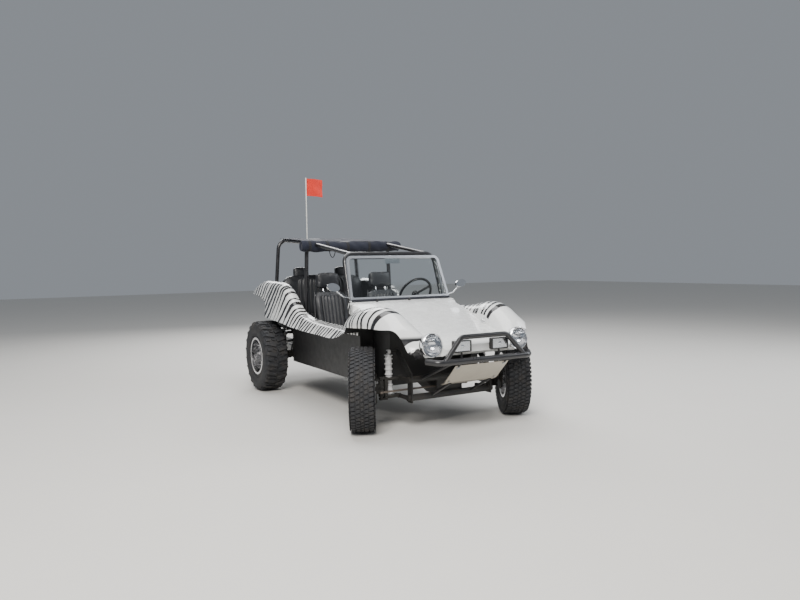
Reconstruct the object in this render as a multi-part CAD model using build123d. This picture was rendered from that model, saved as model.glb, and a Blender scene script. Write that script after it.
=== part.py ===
from build123d import *
import math
import os

# Four-seat dune buggy. Millimetres: x to the vehicle's left, y rearwards from the front axle, z up.

# Overall layout
wheelbase = 2400.0
nose_reach = 674.0
tail_reach = 706.0
front_half_track = 755.0
rear_half_track = 760.0

# Wheels and tyres
front_tyre_radius = 355.0
front_tyre_width = 215.0
rear_tyre_radius = 387.0
rear_tyre_width = 265.0
front_rim_radius = 192.0
rear_rim_radius = 192.0
rim_wall = 9.0
rim_lip = 14.0
lug_height = 16.0
lug_length = 40.0
lug_skew = 16.0
rear_lug_count = 22
front_groove = 7.0
front_sides = 32
rear_sides = 26
spoke_count = 8
hub_radius = 48.0
drum_radius = 120.0

# Body shell
skin = 10.0
tub_half_width = 570.0
tub_wall = 12.0
floor_z = 345.0
floor_thickness = 12.0
pan_front = 330.0
riser_ahead = 340.0
kick_front = 440.0
footwell_half_width = 440.0
bulkhead_y = 120.0
rear_floor_z = 700.0
rear_wall_behind = 200.0
tunnel_half_width = 100.0
tunnel_height = 170.0
neck_half_width = 85.0

# Roll cage
cage_tube = 21.0
cage_bend = 110.0
main_hoop_y = 1800.0
main_hoop_top = 1643.0
main_hoop_half_top = 490.0
main_hoop_half_foot = 532.0
rear_hoop_top = 1705.0
rear_hoop_half_top = 490.0
rear_hoop_half_foot = 535.0
front_hoop_y = 880.0
front_hoop_top = 1490.0
front_hoop_half = 500.0
front_foot_y = 745.0
front_foot_half = 512.0

# Windscreen
screen_base_y = 660.0
screen_base_z = 1058.0
screen_height = 440.0
screen_rake = 21.0
screen_half_base = 545.0
screen_half_top = 512.0
screen_bar = 26.0
screen_depth = 26.0
screen_round = 60.0
glass_thickness = 6.0

# Steering, with the front wheels held at the turned rest position
rest_steer = -28.0
steering_ratio = 14.0
kingpin_x = 600.0
kingpin_radius = 12.0
kingpin_fit = 0.05
knuckle_height = 130.0
steer_arm = 90.0
pitman_x = 250.0
rod_radius = 8.5
stud_radius = 6.0
stud_fit = 0.05
column_angle = 29.0
wheel_centre = (330.0, 950.0, 1080.0)
steering_wheel_radius = 178.0
spindle_radius = 20.0
spindle_fit = 0.05

# Front beam
beam_y = -150.0
beam_tube = 28.0
beam_spacing = 150.0
beam_half = 400.0
arm_thickness = 22.0

# Rear axle
torsion_ahead = 260.0
torsion_z = 395.0
torsion_tube = 45.0
torsion_half = 440.0
axle_tube = 36.0
axle_flange_x = 596.0

# Seats, roof, engine and rear guard
seat_x = 312.0
rear_rest_x = 265.0
canopy_half = 470.0
canopy_thickness = 6.0
cloth_gap = 0.35
shock_x = 515.0
shock_turns = 7
front_shock_x = 495.0
shock_back = 54.0
backing_radius = 125.0
front_disc_x = 712.0
rear_disc_x = 700.0
front_bead = 84.0
rear_bead = 108.0
engine_behind = 140.0
engine_length = 380.0
crank_z = 430.0
fin_count = 7
muffler_behind = 585.0
muffler_z = 400.0
guard_half = 470.0
guard_front_behind = 160.0
guard_behind = 650.0
guard_z = 560.0
guard_tube = 21.0

# Bumper, lamps and trim
loop_tube = 20.0
skid_half = 262.0
skid_top_y = -600.0
skid_top_z = 590.0
skid_fold_y = -440.0
skid_fold_z = 428.0
skid_bolt_x = 228.0
bumper_tube = 24.0
bumper_z = 630.0
bumper_half = 500.0
loop_z = 815.0
headlamp_x = 430.0
headlamp_y = -518.0
headlamp_z = 756.0
headlamp_radius = 95.0
tail_lamp_depth = 26.0
fog_x = 185.0
fog_z = 737.0
fog_width = 165.0
fog_height = 92.0
whip_x = -100.0
whip_behind = 325.0
whip_top = 2440.0
whip_radius = 6.0
flag_width = 215.0
flag_height = 205.0

mid_y = -(wheelbase + tail_reach - nose_reach) / 2.0
bumper_y = bumper_tube - nose_reach
tail_y = wheelbase + tail_reach - tail_lamp_depth
pan_rear = wheelbase - riser_ahead
rear_wall_y = wheelbase + rear_wall_behind
torsion_y = wheelbase - torsion_ahead
engine_front = wheelbase + engine_behind
muffler_y = wheelbase + muffler_behind
guard_front = wheelbase + guard_front_behind
guard_y = wheelbase + guard_behind
whip_y = wheelbase + whip_behind


def box(x0, x1, y0, y1, z0, z1):
    return Pos((x0 + x1) / 2, (y0 + y1) / 2, (z0 + z1) / 2) * Box(x1 - x0, y1 - y0, z1 - z0)


def rod(a, b, radius):
    a, b = Vector(*a), Vector(*b)
    up = (Align.CENTER, Align.CENTER, Align.MIN)
    return Plane(origin=a, z_dir=b - a) * Cylinder(radius, (b - a).length, align=up)


def tube(points, radius, bend=0.0):
    path = FilletPolyline(*points, radius=bend) if len(points) > 2 else Line(*points)
    return sweep(Plane(origin=path @ 0, z_dir=path % 0) * Circle(radius), path=path)


def mirrored(shape):
    return mirror(shape, about=Plane.YZ)


def plate_yz(points, x0, x1):
    outline = make_face(Polyline([(p[0], p[1]) for p in points], close=True))
    side = Plane(origin=(x0, 0, 0), x_dir=(0, 1, 0), z_dir=(1, 0, 0))
    return extrude(side * outline, x1 - x0)


def plate_xy(points, z0, z1):
    outline = make_face(Polyline([(p[0], p[1]) for p in points], close=True))
    return extrude(Pos(0, 0, z0) * outline, z1 - z0)


def steered(shape, x):
    return Pos(x, 0, 0) * Rot(0, 0, rest_steer) * Pos(-x, 0, 0) * shape


def across(y):
    return Plane(origin=(0, y, 0), x_dir=(1, 0, 0), z_dir=(0, -1, 0))


def save(node, *shapes):
    solids = [Pos(0, mid_y, 0) * solid for shape in shapes for solid in shape.solids()]
    export_step(solids[0] if len(solids) == 1 else Compound(children=solids), f"parts/{node}.step")


os.makedirs("parts", exist_ok=True)

# Front shell sections: station y, middle z, valley x and z, crest x and z, outer edge x and z
front_sections = [
    (690.0, 1060.0, 541.0, 1056.0, 556.0, 1008.0, 563.0, 950.0),
    (520.0, 1030.0, 532.0, 1004.0, 608.0, 948.0, 672.0, 862.0),
    (400.0, 1000.0, 515.0, 972.0, 640.0, 966.0, 725.0, 848.0),
    (250.0, 957.0, 495.0, 932.0, 642.0, 1000.0, 735.0, 852.0),
    (80.0, 912.0, 455.0, 888.0, 640.0, 1026.0, 740.0, 862.0),
    (-110.0, 866.0, 418.0, 844.0, 628.0, 1008.0, 730.0, 868.0),
    (-250.0, 836.0, 396.0, 812.0, 605.0, 944.0, 705.0, 870.0),
    (-355.0, 815.0, 385.0, 790.0, 575.0, 884.0, 655.0, 855.0),
    (-430.0, 797.0, 380.0, 770.0, 540.0, 800.0, 610.0, 735.0),
    (-475.0, 785.0, 375.0, 757.0, 510.0, 745.0, 575.0, 690.0),
]


def shell_section(row):
    y, za, xb, zb, xc, zc, xd, zd = row
    t = skin
    edges = [
        ThreePointArc((-xd, zd), (-xc, zc), (-xb, zb)),
        ThreePointArc((-xb, zb), (0, za), (xb, zb)),
        ThreePointArc((xb, zb), (xc, zc), (xd, zd)),
        Line((xd, zd), (xd - t, zd)),
        ThreePointArc((xd - t, zd), (xc - t / 2, zc - t), (xb, zb - t)),
        ThreePointArc((xb, zb - t), (0, za - t), (-xb, zb - t)),
        ThreePointArc((-xb, zb - t), (-xc + t / 2, zc - t), (-xd + t, zd)),
        Line((-xd + t, zd), (-xd, zd)),
    ]
    return across(y) * make_face(edges)


front_shell = loft([shell_section(row) for row in front_sections])
valley = [(row[2] + 4.0, row[0]) for row in front_sections]
hood_plan = [(-valley[0][0], 800.0)] + [(-x, y) for x, y in valley] + [(-valley[-1][0], -700.0)]
hood_plan += [(valley[-1][0], -700.0)] + [(x, y) for x, y in reversed(valley)] + [(valley[0][0], 800.0)]
hood_zone = plate_xy(hood_plan, 400, 1300)
edge_cut = plate_xy([(558, 665), (690, 468), (900, 468), (900, 800), (558, 800)], 400, 1300)
hood_zone -= box(-700, 700, 560, 800, 400, 975)
hood = front_shell & hood_zone
fenders = front_shell - hood_zone - edge_cut - mirrored(edge_cut)

# Nose: a flat panel closing the shell and a rounded beak, open below
last = front_sections[-1]
nose_face_y = last[0]


def arch_face(row, inset, bottom):
    y, za, xb, zb, xc, zc, xd, zd = row
    edges = [
        ThreePointArc((-xd + inset, zd), (-xc + inset / 2, zc - inset), (-xb, zb - inset)),
        ThreePointArc((-xb, zb - inset), (0, za - inset), (xb, zb - inset)),
        ThreePointArc((xb, zb - inset), (xc - inset / 2, zc - inset), (xd - inset, zd)),
        Line((xd - inset, zd), (xd - inset - 20, bottom)),
        Line((xd - inset - 20, bottom), (-xd + inset + 20, bottom)),
        Line((-xd + inset + 20, bottom), (-xd + inset, zd)),
    ]
    return make_face(edges)


def beak_face(row, inset, drop):
    y, w, zt, zs, zb = row
    w, zt, zs, zb = w - inset, zt - inset, zs - inset, zb - drop
    edges = [
        ThreePointArc((-w, zs), (0, zt), (w, zs)),
        Line((w, zs), (w - 12, zb)),
        Line((w - 12, zb), (-w + 12, zb)),
        Line((-w + 12, zb), (-w, zs)),
    ]
    return across(y) * make_face(edges)


# Beak sections: station y, half width, top middle z, top corner z, bottom z
beak_sections = [
    (nose_face_y - 1.0, 374.0, 785.0, 757.0, 655.0),
    (-530.0, 345.0, 773.0, 742.0, 664.0),
    (-556.0, 318.0, 742.0, 712.0, 684.0),
]
beak_inner = [
    (nose_face_y - 1.0, 374.0, 785.0, 757.0, 655.0),
    (-522.0, 345.0, 773.0, 742.0, 664.0),
    (-546.0, 318.0, 742.0, 712.0, 684.0),
]
nose_wall = extrude(across(nose_face_y) * arch_face(last, 0.0, 655.0), 5.0)
beak = loft([beak_face(row, 0.0, 0.0) for row in beak_sections], ruled=True)
beak -= loft([beak_face(row, skin, 60.0) for row in beak_inner], ruled=True)
nose = nose_wall + beak

# Headlamps, seated through the shell's front corners
def headlamp_bucket(x):
    facing = Plane(origin=(x, headlamp_y, headlamp_z), x_dir=(1, 0, 0), z_dir=(0, -1, 0))
    r = headlamp_radius
    profile = make_face([
        Line((0, 12), (r - 8, 12)),
        Line((r - 8, 12), (r - 8, 22)),
        Line((r - 8, 22), (r, 22)),
        Line((r, 22), (r, -8)),
        ThreePointArc((r, -8), (r * 0.8, -60), (30, -95)),
        Line((30, -95), (0, -95)),
        Line((0, -95), (0, 12)),
    ])
    spun = revolve(Plane.XZ * profile, Axis.Z)
    return facing * spun


def headlamp_lens(x):
    facing = Plane(origin=(x, headlamp_y, headlamp_z), x_dir=(1, 0, 0), z_dir=(0, -1, 0))
    r = headlamp_radius - 8
    profile = make_face([
        Line((0, 12), (r, 12)),
        Line((r, 12), (r, 20)),
        ThreePointArc((r, 20), (r * 0.6, 31), (12, 36)),
        Line((12, 36), (0, 36)),
        Line((0, 36), (0, 12)),
    ])
    return facing * revolve(Plane.XZ * profile, Axis.Z)


buckets = [headlamp_bucket(-headlamp_x), headlamp_bucket(headlamp_x)]
lenses = [headlamp_lens(-headlamp_x), headlamp_lens(headlamp_x)]

# Fog lamps: rectangular housings with a flat lens, on the nose
fog_back = -557.0
fog_front = -598.0
fogs = []
fog_lenses = []
for x in (-fog_x, fog_x):
    w, h = fog_width / 2, fog_height / 2
    housing = box(x - w, x + w, fog_front, fog_back, fog_z - h, fog_z + h)
    housing = fillet(housing.edges().filter_by(Axis.Y), 10)
    housing -= box(x - w + 8, x + w - 8, fog_front - 1, fog_front + 8, fog_z - h + 8, fog_z + h - 8)
    fogs.append(housing)
    fog_lenses.append(box(x - w + 8, x + w - 8, fog_front + 2, fog_front + 8, fog_z - h + 8, fog_z + h - 8))

for bucket in buckets:
    hood -= bucket
    fenders -= bucket
    nose -= bucket
nose = max((nose - hood - lenses[0] - lenses[1]).solids(), key=lambda part: part.volume)
save("hood", hood)
save("front_fenders", fenders)
save("nose", nose)
save("headlamps", *buckets)
save("fog_lamps", *fogs)
save("lamp_lenses", *lenses, *fog_lenses)

# Side shell: station, inner z, inner flange, corner x off the tub and z, corner radius, outer x off the tub and z.
# Stations ahead of the door are fixed, those up to the rear axle are shares of the way, the rest lie behind it.
door_front = 640.0
door_run = (wheelbase - door_front) / 1760.0
side_rows = [
    (kick_front, 818.0, 60.0, 98.0, 812.0, 45.0, 154.0, 792.0),
    (520.0, 819.0, 60.0, 97.0, 811.0, 50.0, 160.0, 762.0),
    (door_front, 820.0, 60.0, 95.0, 808.0, 55.0, 162.0, 731.0),
    (door_front + door_run * 260, 827.0, 60.0, 92.0, 812.0, 60.0, 165.0, 728.0),
    (door_front + door_run * 610, 838.0, 60.0, 92.0, 826.0, 60.0, 168.0, 735.0),
    (door_front + door_run * 860, 862.0, 70.0, 94.0, 856.0, 65.0, 172.0, 745.0),
    (door_front + door_run * 1040, 915.0, 90.0, 98.0, 930.0, 70.0, 174.0, 755.0),
    (door_front + door_run * 1160, 992.0, 110.0, 101.0, 1032.0, 62.0, 176.0, 765.0),
    (door_front + door_run * 1280, 1082.0, 120.0, 104.0, 1152.0, 70.0, 178.0, 778.0),
    (door_front + door_run * 1430, 1160.0, 120.0, 106.0, 1236.0, 72.0, 180.0, 790.0),
    (door_front + door_run * 1660, 1190.0, 120.0, 108.0, 1270.0, 74.0, 180.0, 802.0),
    (wheelbase + 160.0, 1196.0, 120.0, 108.0, 1276.0, 74.0, 178.0, 830.0),
    (wheelbase + 400.0, 1172.0, 110.0, 102.0, 1248.0, 70.0, 168.0, 900.0),
    (wheelbase + 560.0, 1122.0, 90.0, 88.0, 1190.0, 58.0, 154.0, 960.0),
    (tail_y, 1068.0, 50.0, 70.0, 1118.0, 36.0, 130.0, 1010.0),
]
side_sections = [(y, zi, flange, tub_half_width + xq, zq, r, tub_half_width + xo, zo)
                 for y, zi, flange, xq, zq, r, xo, zo in side_rows]


def shifted_corner(a, b, c, t):
    (ax, az), (bx, bz), (cx, cz) = a, b, c
    l1, l2 = math.hypot(bx - ax, bz - az), math.hypot(cx - bx, cz - bz)
    n1 = ((bz - az) / l1, -(bx - ax) / l1)
    n2 = ((cz - bz) / l2, -(cx - bx) / l2)
    k = t / (1 + n1[0] * n2[0] + n1[1] * n2[1])
    return (bx + (n1[0] + n2[0]) * k, bz + (n1[1] + n2[1]) * k)


def side_section(row):
    y, zi, flange, xq, zq, r, xo, zo = row
    t = skin
    foot, top = (tub_half_width, zi - flange), (tub_half_width, zi)
    corner, out = (xq, zq), (xo, zo)
    inner_top = shifted_corner(foot, top, corner, t)
    inner_corner = shifted_corner(top, corner, out, t)
    outer = FilletPolyline(top, corner, out, radius=r)
    inner = FilletPolyline((xo - t, zo), inner_corner, inner_top, radius=r - t)
    edges = [Line(foot, top), *outer.edges(), Line(out, (xo - t, zo)), *inner.edges()]
    edges += [Line(inner_top, (tub_half_width + t, zi - flange)), Line((tub_half_width + t, zi - flange), foot)]
    return across(y) * make_face(edges)


side_left = loft([side_section(row) for row in side_sections])
rear_arch = plate_yz([(wheelbase + dy, z) for dy, z in (
    (62, 600), (76, 930), (100, 968), (160, 1004), (260, 1034), (460, 1050), (800, 1064), (800, 600))], 600, 900)
side_left -= rear_arch
tail = side_sections[-1]
tail_cap = across(tail[0]) * make_face([
    Line((tub_half_width, tail[1] - tail[2]), (tub_half_width, tail[1])),
    *FilletPolyline((tub_half_width, tail[1]), (tail[3], tail[4]), (tail[6], tail[7]), radius=tail[5]).edges(),
    Line((tail[6], tail[7]), (tub_half_width, tail[1] - tail[2])),
])
side_left += extrude(tail_cap, skin) - rear_arch
side_left -= fenders
save("side_panel_left", side_left)
save("side_panel_right", mirrored(side_left))

# Rear deck between the side shells, with a turned-down rear lip
deck_front = rear_wall_y
deck_rows = [(y, zi) for y, zi, *rest in side_sections if y > deck_front]
deck_rows = [(deck_front, 1190.0)] + deck_rows


def deck_face(y, z):
    w = tub_half_width
    return across(y) * make_face([
        ThreePointArc((-w, z), (0, z + 22), (w, z)), Line((w, z), (w, z - skin)),
        ThreePointArc((w, z - skin), (0, z + 22 - skin), (-w, z - skin)), Line((-w, z - skin), (-w, z)),
    ])


deck = loft([deck_face(y, z) for y, z in deck_rows])
deck += box(-tub_half_width, tub_half_width, tail[0] - skin, tail[0], 985, tail[1] - skin / 2)
save("rear_deck", deck)

# Lower tub: walls, raised rear floor, back wall, footwell
floor_top = floor_z + floor_thickness
wall_top = [(y, zi - 10.0) for y, zi, *rest in side_sections if y < rear_wall_y]
wall_outline = [(kick_front, floor_z), (pan_rear, floor_z), (pan_rear, rear_floor_z - tub_wall)]
wall_outline += [(rear_wall_y, rear_floor_z - tub_wall), (rear_wall_y, 1180.0)] + list(reversed(wall_top))
tub_wall_left = plate_yz(wall_outline, tub_half_width - tub_wall, tub_half_width)
save("tub_sides", tub_wall_left, mirrored(tub_wall_left))

inside = tub_half_width - tub_wall
riser = box(-inside, inside, pan_rear - tub_wall, pan_rear, floor_top, rear_floor_z - tub_wall)
riser -= box(-tunnel_half_width, tunnel_half_width, pan_rear - 50, pan_rear + 1, 0, floor_top + tunnel_height)
rear_tub = riser + box(-inside, inside, pan_rear - tub_wall, rear_wall_y - tub_wall,
                       rear_floor_z - tub_wall, rear_floor_z)
rear_tub += box(-inside, inside, rear_wall_y - tub_wall, rear_wall_y, rear_floor_z - tub_wall, 1178)
save("rear_bulkhead", rear_tub)

column_axis = Vector(0, -math.cos(math.radians(column_angle)), -math.sin(math.radians(column_angle)))
hub_point = Vector(*wheel_centre)
column_line = (hub_point + column_axis * 40, hub_point + column_axis * 1030)
column_hole = rod(hub_point, hub_point + column_axis * 1200, 27.0)

bulkhead = extrude(across(bulkhead_y + tub_wall) * make_face([
    ThreePointArc((-footwell_half_width, 884), (0, 908), (footwell_half_width, 884)),
    Line((footwell_half_width, 884), (footwell_half_width, floor_z)),
    Line((footwell_half_width, floor_z), (-footwell_half_width, floor_z)),
    Line((-footwell_half_width, floor_z), (-footwell_half_width, 884)),
]), tub_wall)
cheek = plate_yz([(bulkhead_y + tub_wall, floor_z), (kick_front, floor_z), (kick_front, 962),
                  (bulkhead_y + tub_wall, 884)], footwell_half_width - tub_wall, footwell_half_width)
kick = extrude(across(kick_front) * make_face(Polyline([
    (footwell_half_width - tub_wall, floor_z), (tub_half_width, floor_z), (tub_half_width, 790), (722, 790),
    (700, 850), (668, 905), (625, 944), (560, 968), (footwell_half_width - tub_wall, 962)], close=True)), tub_wall)
toe_floor = box(-footwell_half_width + tub_wall, footwell_half_width - tub_wall, bulkhead_y + tub_wall,
                pan_front, floor_z, floor_top)

# Floor pan with a central tunnel and a neck to the front beam
pan = box(-inside, inside, kick_front, pan_rear - tub_wall, floor_z, floor_top)
pan += box(-(footwell_half_width - tub_wall), footwell_half_width - tub_wall, pan_front, kick_front,
           floor_z, floor_top)
pan += box(-inside, inside, pan_rear - tub_wall, pan_rear, floor_z, floor_top)
tunnel = box(-tunnel_half_width, tunnel_half_width, pan_front + 10, pan_rear, floor_top,
             floor_top + tunnel_height)
tunnel = fillet(tunnel.edges().filter_by(Axis.Y).group_by(Axis.Z)[-1], 40)
neck = plate_yz([(beam_y + 22, 262), (beam_y + 22, 322), (40, 322), (pan_front + 11, 440),
                 (pan_front + 11, floor_z), (pan_front, floor_z), (110, 262)], -neck_half_width, neck_half_width)
head_plate = box(-130, 130, beam_y + 18, beam_y + 34, 262, 446)
pan += tunnel + neck + head_plate
footwell = bulkhead + cheek + mirrored(cheek) + kick + mirrored(kick) + toe_floor - column_hole - neck
save("footwell", footwell)
for z in (front_tyre_radius - beam_spacing / 2, front_tyre_radius + beam_spacing / 2):
    pan -= rod((-200, beam_y, z), (200, beam_y, z), beam_tube)
save("floor_pan", pan)

# Dash
dash_y = front_sections[0][0]
dash = extrude(across(dash_y + 16) * make_face([
    ThreePointArc((-530, 1046), (0, 1050), (530, 1046)), Line((530, 1046), (522, 900)),
    Line((522, 900), (-522, 900)), Line((-522, 900), (-530, 1046)),
]), 16) - column_hole
save("dash", dash)

# Windscreen: silver frame and flat pane on the raked plane
rake = math.radians(screen_rake)
screen_plane = Plane(origin=(0, screen_base_y, screen_base_z), x_dir=(1, 0, 0),
                     z_dir=(0, -math.cos(rake), math.sin(rake)))


def screen_outline(inset, low):
    b, t = screen_half_base - inset, screen_half_top - inset
    shape = make_face(Polyline([(-b, low), (b, low), (t, screen_height - inset), (-t, screen_height - inset)],
                               close=True))
    corners = shape.vertices().group_by(Axis.Y)[-1]
    shape = fillet(corners, screen_round - inset * 0.8)
    if inset > 0:
        shape = fillet(shape.vertices().group_by(Axis.Y)[0], 18)
    return shape


frame_ring = extrude(screen_plane * (screen_outline(0, -20) - screen_outline(screen_bar, screen_bar)),
                     screen_depth / 2, both=True)
frame_ring -= box(-700, 700, 500, 900, 900, screen_base_z + 2.5)
pane = extrude(screen_plane * screen_outline(screen_bar, screen_bar), glass_thickness / 2, both=True)
save("windscreen_frame", frame_ring)
save("windscreen_glass", pane)

# Roll cage
rail_z = (front_hoop_top, main_hoop_top - cage_tube, rear_hoop_top - cage_tube)
below_floor = box(-700, 700, 400, 2000, 200, floor_top)
front_hoop = tube([(-front_foot_half, 735, floor_top - 10), (-front_foot_half, front_foot_y, 1063),
                   (-front_hoop_half, front_hoop_y, rail_z[0]), (front_hoop_half, front_hoop_y, rail_z[0]),
                   (front_foot_half, front_foot_y, 1063), (front_foot_half, 735, floor_top - 10)],
                  cage_tube, 90)
main_hoop = tube([(-main_hoop_half_foot, main_hoop_y, floor_top - 10), (-main_hoop_half_top, main_hoop_y, rail_z[1]),
                  (main_hoop_half_top, main_hoop_y, rail_z[1]), (main_hoop_half_foot, main_hoop_y, floor_top - 10)],
                 cage_tube, cage_bend)
front_hoop -= below_floor
main_hoop -= below_floor
rear_hoop_y = rear_wall_y + 45.0
rear_hoop = tube([(-rear_hoop_half_foot, rear_hoop_y, 1100), (-rear_hoop_half_top, rear_hoop_y, rail_z[2]),
                  (rear_hoop_half_top, rear_hoop_y, rail_z[2]), (rear_hoop_half_foot, rear_hoop_y, 1100)],
                 cage_tube, cage_bend)
rail_x = main_hoop_half_top - cage_bend * 0.55
rails = []
for sign in (-1, 1):
    a = (sign * rail_x, front_hoop_y, rail_z[0])
    b = (sign * rail_x, main_hoop_y, rail_z[1])
    c = (sign * rail_x, rear_hoop_y, rail_z[2])
    rails.append(rod(a, b, cage_tube - 2) - main_hoop - front_hoop)
    rails.append(rod(b, c, cage_tube - 2) - main_hoop - rear_hoop)
w = tub_half_width
deck_below = loft([across(y) * make_face([
    ThreePointArc((-w, z), (0, z + 22), (w, z)), Line((w, z), (w, 900)),
    Line((w, 900), (-w, 900)), Line((-w, 900), (-w, z))]) for y, z in deck_rows])
rear_hoop -= deck_below
feet = [rod((s * rear_hoop_half_foot, rear_hoop_y, 1150), (s * rear_hoop_half_foot, rear_hoop_y, 1202), 30)
        - deck_below for s in (-1, 1)]
rear_hoop = rear_hoop + feet[0] + feet[1]
save("cage_front", front_hoop)
save("cage_main", main_hoop)
save("cage_rear", rear_hoop)
save("cage_rails", *[solid for rail in rails for solid in Compound(children=[rail]).solids()])

# Roof: a fabric canopy on the rails and a rolled cover hanging ahead of the main hoop
canopy_slope = (rail_z[2] - rail_z[1]) / (rear_hoop_y - main_hoop_y)
canopy_sections = []
for y in (main_hoop_y - cage_tube / 2, rear_hoop_y + cage_tube / 2):
    z = rail_z[1] + cage_tube + cloth_gap + canopy_slope * (y - main_hoop_y)
    canopy_sections.append(across(y) * make_face(Polyline(
        [(-canopy_half, z), (canopy_half, z), (canopy_half, z + canopy_thickness),
         (-canopy_half, z + canopy_thickness)], close=True)))
canopy = loft(canopy_sections)
save("roof_canopy", canopy)

# Rolled cover sections: x, height and radius
roll_rows = [(-590.0, 1606.0, 30.0), (-480.0, 1604.0, 47.0), (-200.0, 1586.0, 52.0), (100.0, 1580.0, 50.0),
             (400.0, 1592.0, 54.0), (500.0, 1600.0, 48.0), (585.0, 1604.0, 32.0)]
roll_y = main_hoop_y - cage_tube - 56.0
roll = loft([Plane(origin=(x, roll_y, z), z_dir=(1, 0, 0)) * Circle(r) for x, z, r in roll_rows], ruled=True)
for rail in rails:
    roll -= rail
save("roof_roll", roll)

# Seats: cushion, back and headrest in one padded form
def slab(points, x, half, edge):
    body = plate_yz(points, x - half, x + half)
    return fillet(body.edges(), edge)


def bucket_seat(x):
    base = slab([(1140, 470), (1600, 440), (1600, 560), (1140, 610)], x, 205, 32)
    back = slab([(1575, 455), (1690, 1100), (1600, 1130), (1470, 560)], x, 200, 32)
    rest = slab([(1640, 1140), (1720, 1135), (1722, 1300), (1655, 1315)], x, 128, 30)
    posts = [rod((x + s * 60, 1640, 1090), (x + s * 60, 1680, 1180), 8) for s in (-1, 1)]
    rails_under = [box(x + s * 140 - 15, x + s * 140 + 15, 1180, 1560, floor_top, 500) for s in (-1, 1)]
    seat = base + back + rest + posts[0] + posts[1]
    return seat, [runner - seat for runner in rails_under]


seat_left, runners_left = bucket_seat(seat_x)
save("seat_front_left", seat_left)
save("seat_front_right", mirrored(seat_left))
save("seat_runners", *runners_left, *[mirrored(r) for r in runners_left])
w = rear_wall_y
bench = slab([(w - 510, rear_floor_z + 1), (w - 80, rear_floor_z + 1), (w - 80, 800), (w - 510, 830)], 0, 520, 35)
bench += slab([(w - 160, rear_floor_z + 60), (w - 40, rear_floor_z + 60), (w - 20, 1290), (w - 110, 1290)], 0, 520, 35)
for s in (-1, 1):
    bench += slab([(w - 100, 1240), (w - 22, 1240), (w - 22, 1366), (w - 85, 1366)], s * rear_rest_x, 92, 30)
save("seat_rear", bench)

# Steering column, wheel, box and pitman arm
column = rod(column_line[0], column_line[1], 24.0)
box_top = column_line[1]
gear_z = front_tyre_radius + 40
gear = box(pitman_x - 35, pitman_x + 95, -45, 45, gear_z, gear_z + 95)
gear += box(wheel_centre[0] - 38, wheel_centre[0] + 38, -45, 62, gear_z + 45, 600)
gear += box(pitman_x + 10, pitman_x + 70, beam_y + 15, -45, gear_z + 20, gear_z + 50)
gear -= rod((-beam_half, beam_y, front_tyre_radius + beam_spacing / 2),
             (beam_half, beam_y, front_tyre_radius + beam_spacing / 2), beam_tube)
gear += rod((pitman_x, 0, front_tyre_radius + 13), (pitman_x, 0, gear_z), 10)
save("steering_column", column + gear)
axis_plane = Plane(origin=hub_point, x_dir=(1, 0, 0), z_dir=-column_axis)
rim_ring = axis_plane * Torus(steering_wheel_radius, 13)
hub = axis_plane * Cylinder(32, 34)
hub += rod(hub_point, hub_point + column_axis * 39.0, 14)
spokes = [axis_plane * (Rot(0, 0, a) * (Pos(steering_wheel_radius / 2, 0, 0) * Box(steering_wheel_radius - 4, 26, 8)))
          for a in [rest_steer * steering_ratio + k for k in (0, 90, 180)]]
save("steering_wheel", rim_ring + hub + spokes[0] + spokes[1] + spokes[2])

# Front beam: two tubes, end towers and the arms that carry the kingpins
beam_low = front_tyre_radius - beam_spacing / 2
beam_high = front_tyre_radius + beam_spacing / 2
beam = Part()
for z in (beam_low, beam_high):
    beam += rod((-beam_half, beam_y, z), (beam_half, beam_y, z), beam_tube)
tower_outline = [(beam_y - 34, 240), (beam_y + 34, 240), (beam_y + 34, 470), (shock_back + 20, 632),
                 (shock_back + 20, 670), (shock_back - 30, 670), (beam_y - 34, 480)]
for s in (-1, 1):
    beam += plate_yz(tower_outline, s * beam_half - (12 if s < 0 else 0), s * beam_half + (12 if s > 0 else 0))
    beam += rod((s * (beam_half + 6), shock_back, 650), (s * (front_shock_x + 20), shock_back, 650), 9)
save("front_beam", beam)


def front_arms():
    x0, x1 = beam_half + 13, beam_half + 13 + arm_thickness
    arms = Part()
    for z in (beam_low, beam_high):
        arms += rod((x0, beam_y, z), (x1, beam_y, z), 26) + rod((x0, 0, z), (x1, 0, z), 20)
        arms += plate_yz([(beam_y, z - 17), (0, z - 14), (0, z + 14), (beam_y, z + 17)], x0, x1)
        if z == beam_low:
            arms += plate_yz([(0, z - 18), (shock_back + 14, z - 18), (shock_back + 14, z + 10), (0, z + 14)], x0, x1)
        arms += rod((x1 - 1, 0, z), (kingpin_x - 45, 0, z), 13)
    arms += box(kingpin_x - 55, kingpin_x - 29, -18, 18, beam_low - 20, beam_high + 20)
    for z0 in (beam_low - 20, beam_high + 2):
        arms += box(kingpin_x - 40, kingpin_x + 14, -15, 15, z0, z0 + 18)
    arms += rod((kingpin_x, 0, beam_low - 20), (kingpin_x, 0, beam_high + 20), kingpin_radius)
    arms += rod((x0 + 5, shock_back, beam_low - 4), (front_shock_x + 20, shock_back, beam_low - 4), 9)
    return arms


arms_left = front_arms()
save("front_arms", arms_left, mirrored(arms_left))


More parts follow.
